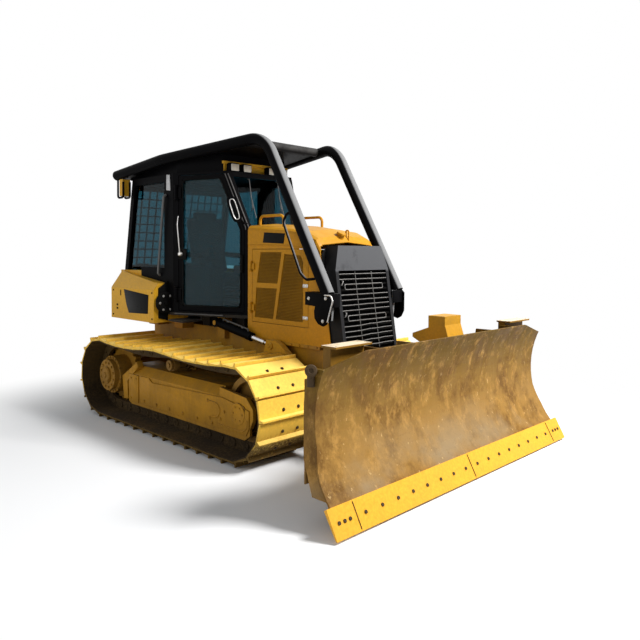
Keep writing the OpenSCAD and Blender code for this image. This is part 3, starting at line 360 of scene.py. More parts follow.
keeper_form = [(keeper_r + 0.012, 0.0), (keeper_r + 0.010, 0.014), (keeper_r - 0.006, 0.016),
               (keeper_r - 0.014, 0.011), (0.0, 0.012)]
clasp = [(0.675, 0.452), (0.80, 0.448), (0.85, 0.385), (0.80, 0.325), (0.72, 0.318)]
lower_lip = [(0.82, 0.268), (1.15, 0.262), (1.215, 0.30), (1.218, 0.37)]
cover_bolts = ([(0.655, 0.455), (0.69, 0.30), (0.90, 0.392), (0.845, 0.318)] +
               [(-0.45 + i * 0.235, 0.262) for i in range(6)] + [(-0.71, 0.26), (-0.71, 0.47), (-0.61, 0.47)])
for name, s in sides:
    covers = bmesh.new()
    on_rail = flank(s, rail_out)
    slab(covers, cover_front, cover_thick, on_rail, 0.004)
    slab(covers, cover_rear, rear_thick, on_rail, 0.004)
    slab(covers, sprocket_guard, guard_thick, flank(s, rail_out - 0.060), 0.008)
    turned(covers, keeper_form, flank(s, rail_out, keeper_x, keeper_z))
    bent_bar(covers, [(x, z, 0.010) for x, z in clasp], on_rail, 0.009, 0.05)
    bent_bar(covers, [(x, z, 0.009) for x, z in lower_lip], on_rail, 0.007, 0.06)
    for x, z in cover_bolts:
        bolt(covers, flank(s, rail_out + cover_thick, x, z), 0.012, 0.010)
    bolt_ring(covers, flank(s, rail_out + 0.011, keeper_x, keeper_z), 6, 0.062, 0.007, 0.007)
    piece("track_covers_" + name, covers, rail_enamel, "tractor")

# Sprockets with their final drives, idlers and rollers: cast and turned steel, the paint
# largely worn off. Rings of bolts close each final drive.
drive_enamel = enamel("drive_enamel", (0.36, 0.17, 0.012), (0.10, 0.06, 0.02), dirt=0.7, low_dark=0.5, low_dark_top=0.7,
                      chips=0.6)
roller_iron = enamel("roller_iron", (0.30, 0.15, 0.02), (0.08, 0.05, 0.022), dirt=0.8, low_dark=0.7, low_dark_top=0.5,
                     chips=0.7)
dress(drive_enamel, "sprocket_right", "sprocket_left")
dress(roller_iron, "idler_right", "idler_left", "rollers_right", "rollers_left")
axle_x, axle_z = 1.153, 0.446
drive_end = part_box("sprocket_left")[1][1]
drive_rings = ((12, 0.135, drive_end - 0.017, 0.012), (20, 0.188, drive_end - 0.072, 0.010))
drive_cap = [(0.078, 0.0), (0.078, 0.006), (0.060, 0.012), (0.030, 0.012), (0.026, 0.022), (0.0, 0.024)]
for name, s in sides:
    ring = bmesh.new()
    for count, ring_r, out, head in drive_rings:
        bolt_ring(ring, flank(s, out, -axle_x, axle_z), count, ring_r, head, head, 0.5)
    turned(ring, drive_cap, flank(s, drive_end, -axle_x, axle_z))
    piece("drive_bolts_" + name, ring, drive_enamel, "tractor")


# Tracks: pressed steel shoes, each with one grouser, bolted to a pinned link chain. Yellow
# paint, rubbed bright and painted sunlit on top, brown with soil and painted shade below and inside.
def seat_on(point, normal, up=(0, 0, 1)):
    # places (across, up, outward) on a face at a point of the machine
    z = Vector(normal).normalized()
    x = Vector(up).cross(z).normalized()
    y = z.cross(x)
    return Matrix(((x.x, y.x, z.x, mid_track + point[0]), (x.y, y.y, z.y, point[1]),
                   (x.z, y.z, z.z, point[2]), (0, 0, 0, 1)))


# On the shoes the pale tops are worn paint and painted sunlight, and the dark low band is soil and painted
# shadow.
shoe_enamel = enamel("shoe_enamel", (0.92, 0.56, 0.075), (0.11, 0.065, 0.016), dirt=0.24, low_dark=1.8,
                     low_dark_top=0.38, chips=0.6, chip=(0.34, 0.20, 0.06), rough=0.42, dust_and_light=0.8,
                     pale=(0.98, 0.68, 0.17), patches=(0.25, 0.5))
# The chain colour is set dark enough to serve as painted shade on the shoes' inner faces.
chain_iron_and_inner_shade = enamel("chain_iron_and_inner_shade", (0.085, 0.048, 0.010), (0.026, 0.016, 0.007), dirt=0.7, low_dark=0.8,
                    low_dark_top=0.6, chips=0.5, rough=0.6, gloss=0.2)
bolt_iron = enamel("bolt_iron", (0.055, 0.035, 0.018), (0.10, 0.06, 0.025), rough=0.6, dirt=0.4, chips=0.3)
dress(chain_iron_and_inner_shade, "track_right", "track_left")
track_y, shoe_half = 0.855, 0.3512
shoe_form = ((0.012, -0.004), (0.985, -0.002), (0.985, 0.020), (0.158, 0.006), (0.116, 0.0462),
             (0.044, 0.0462), (0.012, 0.006))
shoe_r, axle_base, shoe_count, sag_depth = 0.400, 2 * axle_x, 39, 0.034
carrier_x, carrier_flat = -0.060, 0.100
link_out, link_depth = 0.1075, 0.062
shoe_bolt_y, shoe_bolt_out, pin_share = 0.085, 0.006, 0.36
pin_form = [(0.034, -0.004), (0.034, 0.006), (0.029, 0.010), (0.018, 0.010), (0.015, 0.006), (0.0, 0.006)]
bow = math.pi * shoe_r
shoe_pitch = (2 * axle_base + 2 * bow) / shoe_count
loop_length = shoe_pitch * shoe_count


def sag(x):
    end = axle_x if x > carrier_x else -axle_x
    near = carrier_x + math.copysign(carrier_flat, end)
    t = (x - near) / (end - near)
    return 4 * sag_depth * t * (1 - t) if t > 0 else 0.0


def on_loop(shoe, h):
    # the point that many shoes along the chain, h outside its line
    s = (shoe * shoe_pitch) % loop_length
    if s < axle_base:
        return s - axle_x, axle_z - shoe_r - h
    if s < axle_base + bow:
        a = (s - axle_base) / shoe_r - math.pi / 2
        return axle_x + (shoe_r + h) * math.cos(a), axle_z + (shoe_r + h) * math.sin(a)
    if s < 2 * axle_base + bow:
        x = axle_x - (s - axle_base - bow)
        return x, axle_z + shoe_r + h - sag(x)
    a = (s - 2 * axle_base - bow) / shoe_r + math.pi / 2
    return -axle_x + (shoe_r + h) * math.cos(a), axle_z + (shoe_r + h) * math.sin(a)


for name, s in sides:
    plates, heads, pins = bmesh.new(), bmesh.new(), bmesh.new()
    across = Matrix(((1, 0, 0, mid_track), (0, 0, 1, s * track_y), (0, 1, 0, 0), (0, 0, 0, 1)))
    for i in range(shoe_count):
        profile = [on_loop(i + share, h) for share, h in shoe_form]
        slab(plates, profile, 2 * shoe_half, across @ Matrix.Translation((0, 0, -shoe_half)), 0.0)
        (ax, az), (bx, bz) = on_loop(i + 0.3, 0.0), on_loop(i + 0.5, 0.0)
        out = Vector((bz - az, 0, ax - bx)).normalized()
        mid = Vector(((ax + bx) / 2, s * track_y, (az + bz) / 2)) + out * shoe_bolt_out
        for dy in (-shoe_bolt_y, shoe_bolt_y):
            bolt(heads, seat_on(mid + Vector((0, dy, 0)), out, (0, 1, 0)), 0.011, 0.011)
        px, pz = on_loop(i + pin_share, -link_depth)
        for side_of in (-1, 1):
            turned(pins, pin_form, seat_on((px, s * track_y + side_of * link_out, pz), (0, side_of, 0)), 14)
    shoes = piece("shoe_plates_" + name, plates, shoe_enamel, "tractor").data
    shoes.materials.append(chain_iron_and_inner_shade)
    # Shoe faces turned into the loop take the chain material: painted shade, with soil, inside the track.
    for face in shoes.polygons:
        x = face.center.x - mid_track
        out = Vector((x - max(-axle_x, min(axle_x, x)), 0, face.center.z - axle_z))
        face.material_index = int(face.normal.dot(out.normalized()) < -0.5)
    piece("shoe_bolts_" + name, heads, bolt_iron, "tractor")
    piece("link_pins_" + name, pins, chain_iron_and_inner_shade, "tractor")

# Engine and radiator core: a cast iron block and a finned core, both dark, bolted to the
# deck and held by the guard.
dress(enamel("block_iron", (0.05, 0.045, 0.04), (0.09, 0.07, 0.05), rough=0.7, chips=0.2), "engine")
dress(enamel("core_fins", (0.006, 0.006, 0.006), (0.02, 0.018, 0.015), rough=0.9, chips=0.0, gloss=0.1),
      "radiator_core")

# Hood: pressed sheet steel in yellow enamel, with a folded seam over the engine doors, a
# filler cap and a lifting eye on top and a bare dark plate on each side.
# The hood's yellow is set darker than the same paint on the tanks: painted shade on its sides.
sheet = enamel("sheet_enamel_shaded", (0.53, 0.235, 0.007), (0.32, 0.16, 0.03), rough=0.34, dirt=0.30, chips=0.25,
               bump=0.04, dust_and_light=0.25, pale=(0.62, 0.40, 0.10))
plate_black = enamel("plate_black", (0.006, 0.006, 0.006), (0.022, 0.02, 0.016), rough=0.3, dirt=0.25,
                     chips=0.2, gloss=0.04, bump=0.03)
dress(sheet, "hood", "handrails")
machine = Matrix.Translation((mid_track, 0, 0))
hood_half = deck_half
seam_line = ((0.435, 1.885), (1.05, 1.872), (1.36, 1.835))
bare_plate = [(0.655, 1.905), (0.955, 1.893), (0.975, 1.990), (0.675, 2.006)]
for name, s in sides:
    seam, badge = bmesh.new(), bmesh.new()
    bent_bar(seam, [(x, s * (hood_half + 0.001), z) for x, z in seam_line], machine, 0.006, 0.3)
    piece("hood_seam_" + name, seam, sheet, "tractor")
    slab(badge, bare_plate, 0.003, flank(s, hood_half), 0.001)
    piece("bare_plate_" + name, badge, plate_black, "tractor")
cap_x, cap_y, cap_z = 1.375, -0.055, 1.955
cap_form = [(0.034, -0.02), (0.034, 0.022), (0.044, 0.024), (0.044, 0.042), (0.037, 0.048), (0.0, 0.050)]
lifting_eye = ((0.005, 0.075, -0.02), (0.005, 0.075, 0.065), (0.03, 0.085, 0.065), (0.03, 0.085, -0.03))
top_fittings = bmesh.new()
turned(top_fittings, cap_form, seat_on((cap_x, cap_y, cap_z), (0.4, 0, 1), (0, 1, 0)))
bent_bar(top_fittings, [(cap_x + x, cap_y + y, cap_z + z) for x, y, z in lifting_eye], machine, 0.007, 0.012)
piece("hood_fittings", top_fittings, sheet, "tractor")

# Engine doors: sheet panels hinged at their rear edges. Each has three vents closed by a
# welded wire mesh in its recess and two pressed latches at the front edge.
# The doors' yellow is likewise set darker than the tanks' same paint: painted shade.
door_sheet = enamel("door_enamel_shaded", (0.50, 0.225, 0.006), (0.30, 0.15, 0.025), rough=0.36, dirt=0.28,
                    chips=0.25, bump=0.04)
mesh_gold = enamel("mesh_gold", (0.36, 0.17, 0.008), (0.16, 0.085, 0.012), rough=0.5, dirt=0.5, chips=0.0)
# The dark yellow sheet set behind each vent mesh is painted shade for the dark inside the vent.
vent_dark = enamel("vent_dark", (0.20, 0.095, 0.006), (0.08, 0.045, 0.01), rough=0.7, dirt=0.6, chips=0.0,
                   gloss=0.2)
latch_steel = enamel("latch_steel", (0.55, 0.54, 0.52), (0.25, 0.2, 0.14), rough=0.28, metal=0.8, dirt=0.2,
                     chips=0.0)
dress(door_sheet, "engine_door_right", "engine_door_left")
vents = ([(0.570, 1.510), (0.870, 1.510), (0.930, 1.810), (0.625, 1.810)],
         [(0.540, 1.165), (0.810, 1.165), (0.865, 1.460), (0.560, 1.460)],
         [(0.850, 1.165), (1.225, 1.165), (1.225, 1.720), (1.190, 1.780), (0.970, 1.795)])
mesh_pitch, wire, wire_deep = 0.014, 0.0045, 0.004
back_in, mesh_in, wire_lap = 0.0145, 0.0105, 0.003
latch_x, latch_heights = 1.252, (1.502, 1.205)
latch_plate = [(-0.030, -0.016), (0.030, -0.016), (0.034, 0.0), (0.030, 0.016), (-0.030, 0.016),
               (-0.034, 0.0)]
latch_paddle = [(-0.022, -0.008), (0.024, -0.010), (0.024, 0.010), (-0.022, 0.008)]


def chord(outline, axis, level):
    # where a wire at that level of the axis enters and leaves the vent
    hits = []
    for a, b in zip(outline, outline[1:] + outline[:1]):
        if (a[axis] - level) * (b[axis] - level) < 0:
            t = (level - a[axis]) / (b[axis] - a[axis])
            hits.append(a[1 - axis] + t * (b[1 - axis] - a[1 - axis]))
    return min(hits), max(hits)


for name, s in sides:
    netting, backs, latches = bmesh.new(), bmesh.new(), bmesh.new()
    for outline in vents:
        slab(backs, outline, 0.001, flank(s, hood_half - back_in), 0.0)
        for axis in (0, 1):
            low, high = min(p[axis] for p in outline), max(p[axis] for p in outline)
            for i in range(int((high - low) / mesh_pitch)):
                level = low + (i + 0.5) * mesh_pitch
                a, b = chord(outline, axis, level)
                left, right = level - wire / 2, level + wire / 2
                strand = [(left, a), (right, a), (right, b), (left, b)]
                slab(netting, [q if axis == 0 else q[::-1] for q in strand], wire_deep,
                     flank(s, hood_half - mesh_in + wire_lap * axis), 0.0)
    for z in latch_heights:
        slab(latches, latch_plate, 0.006, flank(s, hood_half, latch_x, z), 0.002)
        slab(latches, latch_paddle, 0.012, flank(s, hood_half, latch_x, z), 0.004)
    body = "hatch_" + name
    piece("vent_mesh_" + name, netting, mesh_gold, body)
    piece("vent_back_" + name, backs, vent_dark, body)
    piece("door_latches_" + name, latches, latch_steel, body)

# Radiator guard and grille: a heavy plate box in black enamel with welded slats. The slats'
# front edges carry bright strips that are painted highlights, two pairs of them joined into frames, with
# thin uprights and two clips. A dark plate closes the hood's front behind them.
# Above the slats, the guard's faces turned to the front take a grey: dust and painted sunlight.
guard_black = enamel("guard_black", (0.010, 0.010, 0.011), (0.028, 0.025, 0.02), rough=0.42, dirt=0.30,
                     chips=0.3, chip=(0.12, 0.11, 0.10), bump=0.05, gloss=0.08, dust_and_light=0.9,
                     pale=(0.085, 0.086, 0.09), dust_and_light_way=(0.97, 0.0, 0.24), turned_to=(0.3, 0.9),
                     patches=(0.15, 0.45), dust_and_light_above=1.642)
slat_black = enamel("slat_black", (0.003, 0.003, 0.003), (0.010, 0.009, 0.007), rough=0.5, dirt=0.3,
                    chips=0.4, chip=(0.10, 0.095, 0.085), gloss=0.03)
# The bright strips along the slats' front edges are painted highlights; the frames, uprights and clips share
# that colour.
slat_highlight = enamel("slat_highlight", (0.24, 0.232, 0.22), (0.12, 0.10, 0.08), rough=0.4, metal=0.4, dirt=0.35,
                     chips=0.0)
dress(guard_black, "radiator_guard")
dress(slat_black, "grille")
guard_foot_z, guard_top_z, guard_foot_x, guard_top_x = 0.880, 1.872, 1.735, 1.580
slat_rows, slat_half, slat_low, slat_high = 15, 0.332, 0.942, 1.637


def on_guard(y, z, out):
    share = (z - guard_foot_z) / (guard_top_z - guard_foot_z)
    return guard_foot_x + (guard_top_x - guard_foot_x) * share + out, y, z


guard_deep, shroud_half = 0.148, 0.383
shroud_form = [(-shroud_half, 0.09), (shroud_half, 0.09), (shroud_half, 0.92), (0.32, 0.985), (-0.32, 0.985),
               (-shroud_half, 0.92)]
lean = Vector((guard_top_x - guard_foot_x, 0, guard_top_z - guard_foot_z)).normalized()
shroud_place = Matrix(((0, lean.x, lean.z, mid_track + guard_foot_x - guard_deep), (1, 0, 0, 0),
                       (0, lean.z, -lean.x, guard_foot_z), (0, 0, 0, 1)))
shroud = bmesh.new()
slab(shroud, shroud_form, 0.004, shroud_place, 0.001)
piece("core_shroud", shroud, slat_black, "tractor")
slat_step = (slat_high - slat_low) / slat_rows
edge_z = [slat_low + (i + 0.5) * slat_step + 0.004 for i in range(slat_rows)]
framed_rows, frame_half = ((5, 6), (11, 12)), 0.266
dent_form = ((-1.0, 0.0), (-0.35, 0.0), (0.05, 0.8), (0.3, 0.55), (0.62, 1.0), (1.0, 0.85))
clip_form = ((0.0, -0.02, -0.012), (0.0, -0.012, 0.008), (0.02, 0.02, 0.006), (0.022, 0.024, -0.012))
edges = bmesh.new()
for i, z in enumerate(edge_z):
    if any(i in pair for pair in framed_rows):
        continue
    dent = 0.010 * min(1.0, max(0.0, (9 - i) / 4))
    front = on_guard(0.0, z, -0.013)[0]
    wave = [(front, y * slat_half, z + dent * up) for y, up in dent_form]
    bent_bar(edges, wave, machine, 0.0036, 0.3, 8, 3)
for low_row, high_row in framed_rows:
    low, high = edge_z[low_row], edge_z[high_row]
    loop = [(0.0, high), (frame_half, high), (frame_half, low), (-frame_half, low), (-frame_half, high),
            (0.0, high)]
    bent_bar(edges, [on_guard(y, z, -0.0135) for y, z in loop], machine, 0.0040, 0.012, 8, 3)
for y in (-0.115, 0.115):
    bent_bar(edges, [on_guard(y, z, -0.008) for z in (slat_low, slat_high)], machine, 0.0024)
for y, z in ((-0.325, 1.535), (-0.325, 1.255)):
    front = on_guard(y, z, 0.0)[0]
    bent_bar(edges, [(front + out, y + dy, z + dz) for dy, dz, out in clip_form], machine, 0.006, 0.008, 8, 3)
piece("slat_edges", edges, slat_highlight, "tractor")

# Platform: folded tread plate in black with a bolted step on each side. Boots have worn its
# edges bare.
tread = enamel("tread_black", (0.016, 0.015, 0.014), (0.07, 0.05, 0.03), rough=0.55, dirt=0.5, chips=0.9,
               chip=(0.22, 0.20, 0.17), bump=0.2, gloss=0.08)
dress(tread, "platform")

# Side tanks and fuel tank: welded yellow sheet boxes with rounded seams. A bare black panel,
# a slot and two small doors, drawn as dark plates of painted shade, are on each side, and a rubber stop for
# the cab door in front.
# The tanks' yellow is set lighter than the same paint on the hood: painted light on their sides.
tank_enamel_lit = enamel("tank_enamel_lit", (0.70, 0.365, 0.020), (0.40, 0.22, 0.05), rough=0.34, dirt=0.28,
                     chips=0.3, bump=0.04, dust_and_light=0.3, pale=(0.75, 0.50, 0.12))
rubber = enamel("rubber", (0.005, 0.005, 0.005), (0.02, 0.018, 0.015), rough=0.75, dirt=0.45, chips=0.0,
                gloss=0.04)
dress(tank_enamel_lit, "side_tanks", "fuel_tank")
tank_out, tank_front_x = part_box("side_tanks")[1][1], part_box("side_tanks")[1][0] - mid_track
panel_form = [(-1.195, 1.388), (-0.67, 1.345), (-0.683, 1.140), (-1.085, 1.126), (-1.14, 1.22)]
tank_slots = ((-1.268, 1.345, 0.009, 0.032), (-1.345, 1.205, 0.016, 0.011), (-1.345, 1.165, 0.016, 0.011))
tank_bolts = ((-1.44, 1.09), (-1.44, 1.37), (-0.60, 1.09), (-0.60, 1.37))
stop_plate = [(tank_out - y - 0.075, z) for y, z in
              ((0.095, 1.07), (-0.02, 1.10), (-0.02, 1.42), (0.095, 1.50))]
stop_form = [(0.108, 0.0), (0.116, 0.012), (0.116, 0.034), (0.102, 0.050), (0.066, 0.054), (0.056, 0.044),
             (0.030, 0.044), (0.026, 0.056), (0.0, 0.058)]
for name, s in sides:
    panel, small, studs = bmesh.new(), bmesh.new(), bmesh.new()
    on_tank = flank(s, tank_out)
    slab(panel, panel_form, 0.003, on_tank, 0.001)
    piece("tank_panel_" + name, panel, plate_black, "tractor")
    # The slot and the two small doors are dark plates: painted shade of their openings.
    for x, z, w, h in tank_slots:
        slab(small, [(x - w, z - h), (x + w, z - h), (x + w, z + h), (x - w, z + h)], 0.003, on_tank, 0.001)
    for x, z in tank_bolts:
        bolt(small, flank(s, tank_out, x, z), 0.008, 0.006)
    tank_front = Matrix(((0, 0, 1, mid_track + tank_front_x), (s, 0, 0, 0), (0, 1, 0, 0), (0, 0, 0, 1)))
    slab(small, stop_plate, 0.012, tank_front, 0.003)
    stop = seat_on((tank_front_x + 0.010, s * (tank_out - 0.125), 1.265), (1, 0, 0))
    turned(small, stop_form, stop, 40)
    bolt_ring(studs, stop @ Matrix.Translation((0, 0, 0.051)), 6, 0.084, 0.010, 0.009)
    piece("tank_trim_" + name, small, rubber, "tractor")
    piece("stop_studs_" + name, studs, latch_steel, "tractor")
filler_form = [(0.065, 0.0), (0.065, 0.030), (0.080, 0.032), (0.080, 0.062), (0.070, 0.070), (0.0, 0.072)]
filler = bmesh.new()
turned(filler, filler_form, seat_on((-1.50, -0.45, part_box("fuel_tank")[1][2]), (0, 0, 1), (0, 1, 0)))
piece("filler_cap", filler, plate_black, "tractor")

# Cab frame and doors: black tube and folded sheet, bolted to the platform. Grey wear strips
# and hinge covers are on the door posts, two grey lines along each front post are painted highlights of its
# lit edges, wipers are on the doors and a mirror at the right front post.
cab_black = enamel("cab_black", (0.0022, 0.0022, 0.0028), (0.009, 0.008, 0.007), rough=0.34, dirt=0.28,
                   chips=0.3, chip=(0.06, 0.055, 0.05), bump=0.03, gloss=0.02)
strip_grey = enamel("strip_grey", (0.115, 0.112, 0.11), (0.06, 0.05, 0.042), rough=0.4, metal=0.3, dirt=0.4,
                    chips=0.2)
pale_plate = enamel("pale_plate", (0.42, 0.42, 0.42), (0.2, 0.18, 0.16), rough=0.3, metal=0.6, dirt=0.35,
                    chips=0.0)
dress(cab_black, "cab_frame", "cab_door_right", "cab_door_left", "cab_screens")
cab_half, nose_half, post_b_x, post_a_x = 0.700, 0.350, -0.450, 0.410
floor_z, knee_z, eave_z, post_top_x = 1.165, 2.060, 2.650, 0.185
taper = math.atan2(cab_half - nose_half, post_a_x - post_b_x)
door_len = math.hypot(post_a_x - post_b_x, cab_half - nose_half)
top_u = (post_top_x - post_b_x) / math.cos(taper)


def door_face(s, out):
    # places (along the door, up, outward) in the door plane of side s
    ct, st = math.cos(taper), math.sin(taper)
    return Matrix(((ct, 0, st, mid_track + post_b_x + out * st),
                   (-s * st, 0, s * ct, s * (cab_half + out * ct)), (0, 1, 0, 0), (0, 0, 0, 1)))


post_rail = ((-0.700, 0.001, 1.555), (-0.705, 0.028, 1.575), (-0.590, 0.028, 2.41), (-0.585, 0.001, 2.43))
post_plate = [(-0.568, 2.478), (-0.492, 2.468), (-0.508, 2.640), (-0.566, 2.645)]
pane_edge = [(0.120, floor_z + 0.076), (door_len - 0.110, floor_z + 0.076),
             (door_len - 0.110, knee_z - 0.022), (top_u - 0.108, eave_z - 0.072), (0.120, eave_z - 0.072)]
pane_start = ((pane_edge[0][0] + pane_edge[-1][0]) / 2, (pane_edge[0][1] + pane_edge[-1][1]) / 2)
wiper_box = [(0.085, 1.74), (0.160, 1.73), (0.165, 1.83), (0.10, 1.85)]
door_grip = [(door_len - inset, z) for inset, z in
             ((0.105, 1.60), (0.075, 1.60), (0.075, 1.78), (0.105, 1.78))]
wiper_arm = ((0.120, 1.79, 0.030), (0.120, 1.80, 0.060), (0.085, 2.10, 0.052), (0.082, 2.19, 0.030))
wiper_hub = [(0.022, 0.0), (0.022, 0.028), (0.014, 0.036), (0.0, 0.037)]
post_line = ((door_len, knee_z - 0.02), (door_len, knee_z), (top_u, eave_z - 0.03))
mirror_half_wide, mirror_half_tall, mirror_deep, mirror_square = 0.052, 0.13, 0.034, -0.4
oval = [(mirror_half_wide * math.cos(a) * abs(math.cos(a)) ** mirror_square,
         mirror_half_tall * math.sin(a) * abs(math.sin(a)) ** mirror_square)
        for a in (2 * math.pi * (k + 0.5) / 24 for k in range(24))]
mirror_place = (Matrix.Translation((mid_track + 0.40, -0.545, 2.235)) @
                Matrix.Rotation(math.radians(-35), 4, "Z") @ Matrix.Rotation(math.radians(18), 4, "X"))
turn_back = Matrix(((0, 0, -1, 0), (1, 0, 0, 0), (0, 1, 0, 0), (0, 0, 0, 1)))
mirror_arm = ((0.385, -0.37, 2.10), (0.42, -0.44, 2.10), (0.42, -0.53, 2.19))
mirror_rim = [(0.036, u * 0.54, v * 0.80) for u, v in oval]
mirror_back = mirror_place @ turn_back @ Matrix.Translation((0, 0, -mirror_deep))
for name, s in sides:
    posts, covers, seal, arm, strips = (bmesh.new() for k in range(5))
    bent_bar(posts, [(x, s * (cab_half + out), z) for x, out, z in post_rail], machine, 0.014, 0.02)
    piece("post_rail_" + name, posts, strip_grey, "tractor")
    slab(covers, post_plate, 0.012, flank(s, cab_half), 0.004)
    piece("post_plate_" + name, covers, pale_plate, "tractor")
    on_door = door_face(s, -0.002)
    bent_bar(seal, [(u, z, 0.0) for u, z in [pane_start] + pane_edge + [pane_start]], on_door, 0.008, 0.05)
    slab(seal, wiper_box, 0.035, on_door, 0.010)
    slab(seal, door_grip, 0.024, on_door, 0.006)
    piece("door_seal_" + name, seal, rubber, "door_" + name)
    bent_bar(arm, wiper_arm, on_door, 0.0055, 0.03)
    turned(arm, wiper_hub, on_door @ Matrix.Translation((0.120, 1.79, 0.033)), 20)
    piece("door_wiper_" + name, arm, latch_steel, "door_" + name)
    # Two grey lines along the front post: painted highlights of its lit edges.
    for inset in (0.012, 0.048):
        bent_bar(strips, [(u - inset, z, 0.0) for u, z in post_line], door_face(s, 0.003), 0.0055, 0.05, 8)
    bent_bar(strips, [(u, floor_z - 0.012, 0.0) for u in (0.02, 0.62)], door_face(s, 0.004), 0.007, 0.05, 8)
    piece("post_strips_" + name, strips, strip_grey, "tractor")
    if name == "right":
        mirror, shine = bmesh.new(), bmesh.new()
        slab(mirror, oval, mirror_deep, mirror_back, 0.012)
        bent_bar(mirror, mirror_arm, machine, 0.009, 0.04)
        piece("mirror_right", mirror, cab_black, "tractor")
        slab(shine, [(u * 0.86, v * 0.9) for u, v in oval], 0.002, mirror_place @ turn_back, 0.0)
        bent_bar(shine, mirror_rim + mirror_rim[:1], mirror_place, 0.005, 0.01, 8, 2)
        piece("mirror_glass_right", shine, latch_steel, "tractor")

# Roof: a folded box on the cab and a canopy plate welded between the sweep tubes, black.
# The tubes are bent pipe, and a bolted foot plate holds each leg to the radiator guard.
# The grey on the sweep tubes and the grab rail, on their sides turned front and up, is a painted highlight;
# the cross tube has a dimmer one.
pipe_black = enamel("pipe_black", (0.0022, 0.0022, 0.0028), (0.008, 0.007, 0.006), rough=0.36, dirt=0.30,
                    chips=0.0, bump=0.03, gloss=0.02, dust_and_light=1.0, pale=(0.20, 0.20, 0.20),
                    dust_and_light_way=(0.80, 0.30, 0.52), turned_to=(0.48, 0.68), patches=(0.05, 0.40))
cross_black = enamel("cross_black", (0.006, 0.006, 0.007), (0.016, 0.014, 0.012), rough=0.4, dirt=0.4,
                     chips=0.2, chip=(0.09, 0.085, 0.08), bump=0.04, gloss=0.04, dust_and_light=1.0,
                     pale=(0.050, 0.048, 0.046), dust_and_light_way=(0.80, 0.0, 0.60), turned_to=(0.2, 0.8),
                     patches=(0.2, 0.55))
dress(cab_black, "cab_roof")
dress(pipe_black, "sweep_right", "sweep_left")
dress(cross_black, "sweep_cross")


def soft_square(half_u, half_v, corner):
    return [(math.copysign(half_u - corner, math.cos(a)) + corner * math.cos(a),
             math.copysign(half_v - corner, math.sin(a)) + corner * math.sin(a))
            for a in (2 * math.pi * (k + 0.5) / 24 for k in range(24))]


foot_out, foot_thick, block_front, leg_y = 0.521, 0.016, 1.664, 0.490
foot_plate = [(1.392, 1.462), (1.655, 1.455), (1.686, 1.425), (1.684, 1.25), (1.652, 1.19), (1.61, 1.168),
              (1.552, 1.185), (1.508, 1.235), (1.502, 1.300), (1.525, 1.345), (1.392, 1.345)]
foot_block = [(1.392, 1.345), (1.520, 1.345), (1.520, 1.462), (1.392, 1.462)]
foot_bolts = ((1.645, 1.415), (1.612, 1.215), (1.44, 1.405))
drip_pipe = ((1.640, -0.536, 1.440), (1.640, -0.548, 1.442), (1.718, -0.548, 1.444), (1.738, -0.548, 1.395),
             (1.676, -0.548, 1.212), (1.672, -0.536, 1.21))
grab_rail = [(1.195, 2.185), (1.10, 2.165), (1.055, 2.095), (1.285, 1.625), (1.36, 1.565), (1.535, 1.585)]
for name, s in sides:
    feet, ears = bmesh.new(), bmesh.new()
    slab(feet, foot_plate, foot_thick, flank(s, foot_out), 0.005)
    slab(feet, foot_block, 0.10, flank(s, 0.422), 0.006)
    pad = seat_on((block_front, s * 0.448, 1.392), (1, 0, 0))
    slab(feet, soft_square(0.072, 0.060, 0.004), 0.004, pad, 0.001)
    piece("sweep_foot_" + name, feet, cab_black, "tractor")
    for x, z in foot_bolts:
        bolt(ears, flank(s, foot_out + foot_thick, x, z), 0.011, 0.010)
    if name == "right":
        bent_bar(ears, drip_pipe, machine, 0.0065, 0.03)
    piece("foot_bolts_" + name, ears, latch_steel, "tractor")
    if name == "right":
        rail = bmesh.new()
        bent_bar(rail, [(x, s * leg_y, z) for x, z in grab_rail], machine, 0.0125, 0.07)
        piece("leg_rail_" + name, rail, pipe_black, "tractor")


# Lamps: square work lamps in black cups under a yellow visor, with ribbed clear lenses, and a
# lamp in a yellow bracket at each rear roof corner.
def two_tones(tree, value, first, last):
    ramp = node(tree, "ValToRGB", {"Fac": value})
    for stop, colour in zip(ramp.color_ramp.elements, (first, last)):
        stop.color = (*colour, 1)
    return ramp.outputs["Color"]


dress(tank_enamel_lit, "front_lamps", "rear_lamps")
lens, lens_tree, lens_coat = new_paint("lamp_lens")
lens_ribs = node(lens_tree, "TexWave", {"Vector": object_place(lens_tree), "Scale": 18},
                 bands_direction="Y").outputs["Fac"]
lens_bump = node(lens_tree, "Bump", {"Strength": 0.3, "Height": lens_ribs})
lens_tone = two_tones(lens_tree, lens_ribs, (0.52, 0.47, 0.38), (0.86, 0.80, 0.68))
feed(lens_tree, lens_coat, {"Base Color": lens_tone, "Roughness": 0.18, "Normal": lens_bump.outputs[0]})
lamp_front, lamp_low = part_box("front_lamps")[1][0] - mid_track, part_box("front_lamps")[0][2]
rear_x, rear_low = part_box("rear_lamps")[0][0] - mid_track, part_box("rear_lamps")[0][2]
hoop = [(rear_x - 0.035, rear_low + 0.20), (rear_x - 0.035, rear_low - 0.02),
        (rear_x + 0.085, rear_low - 0.02), (rear_x + 0.085, rear_low + 0.16)]
front_lamp_y, hoop_y, cup_deep, lens_thick = (-0.343, -0.178, 0.178, 0.343), (0.80, 0.715), 0.068, 0.006
cup_form, lens_form = soft_square(0.060, 0.046, 0.012), soft_square(0.050, 0.036, 0.008)
under_form, behind_form = soft_square(0.036, 0.028, 0.008), soft_square(0.040, 0.085, 0.012)
cups, lenses = bmesh.new(), bmesh.new()
for y in front_lamp_y:
    front = seat_on((lamp_front - 0.062, y, lamp_low + 0.038), (1, 0, 0))
    slab(cups, cup_form, cup_deep, front, 0.006)
    slab(lenses, lens_form, lens_thick, front @ Matrix.Translation((0, 0, 0.067)), 0.002)
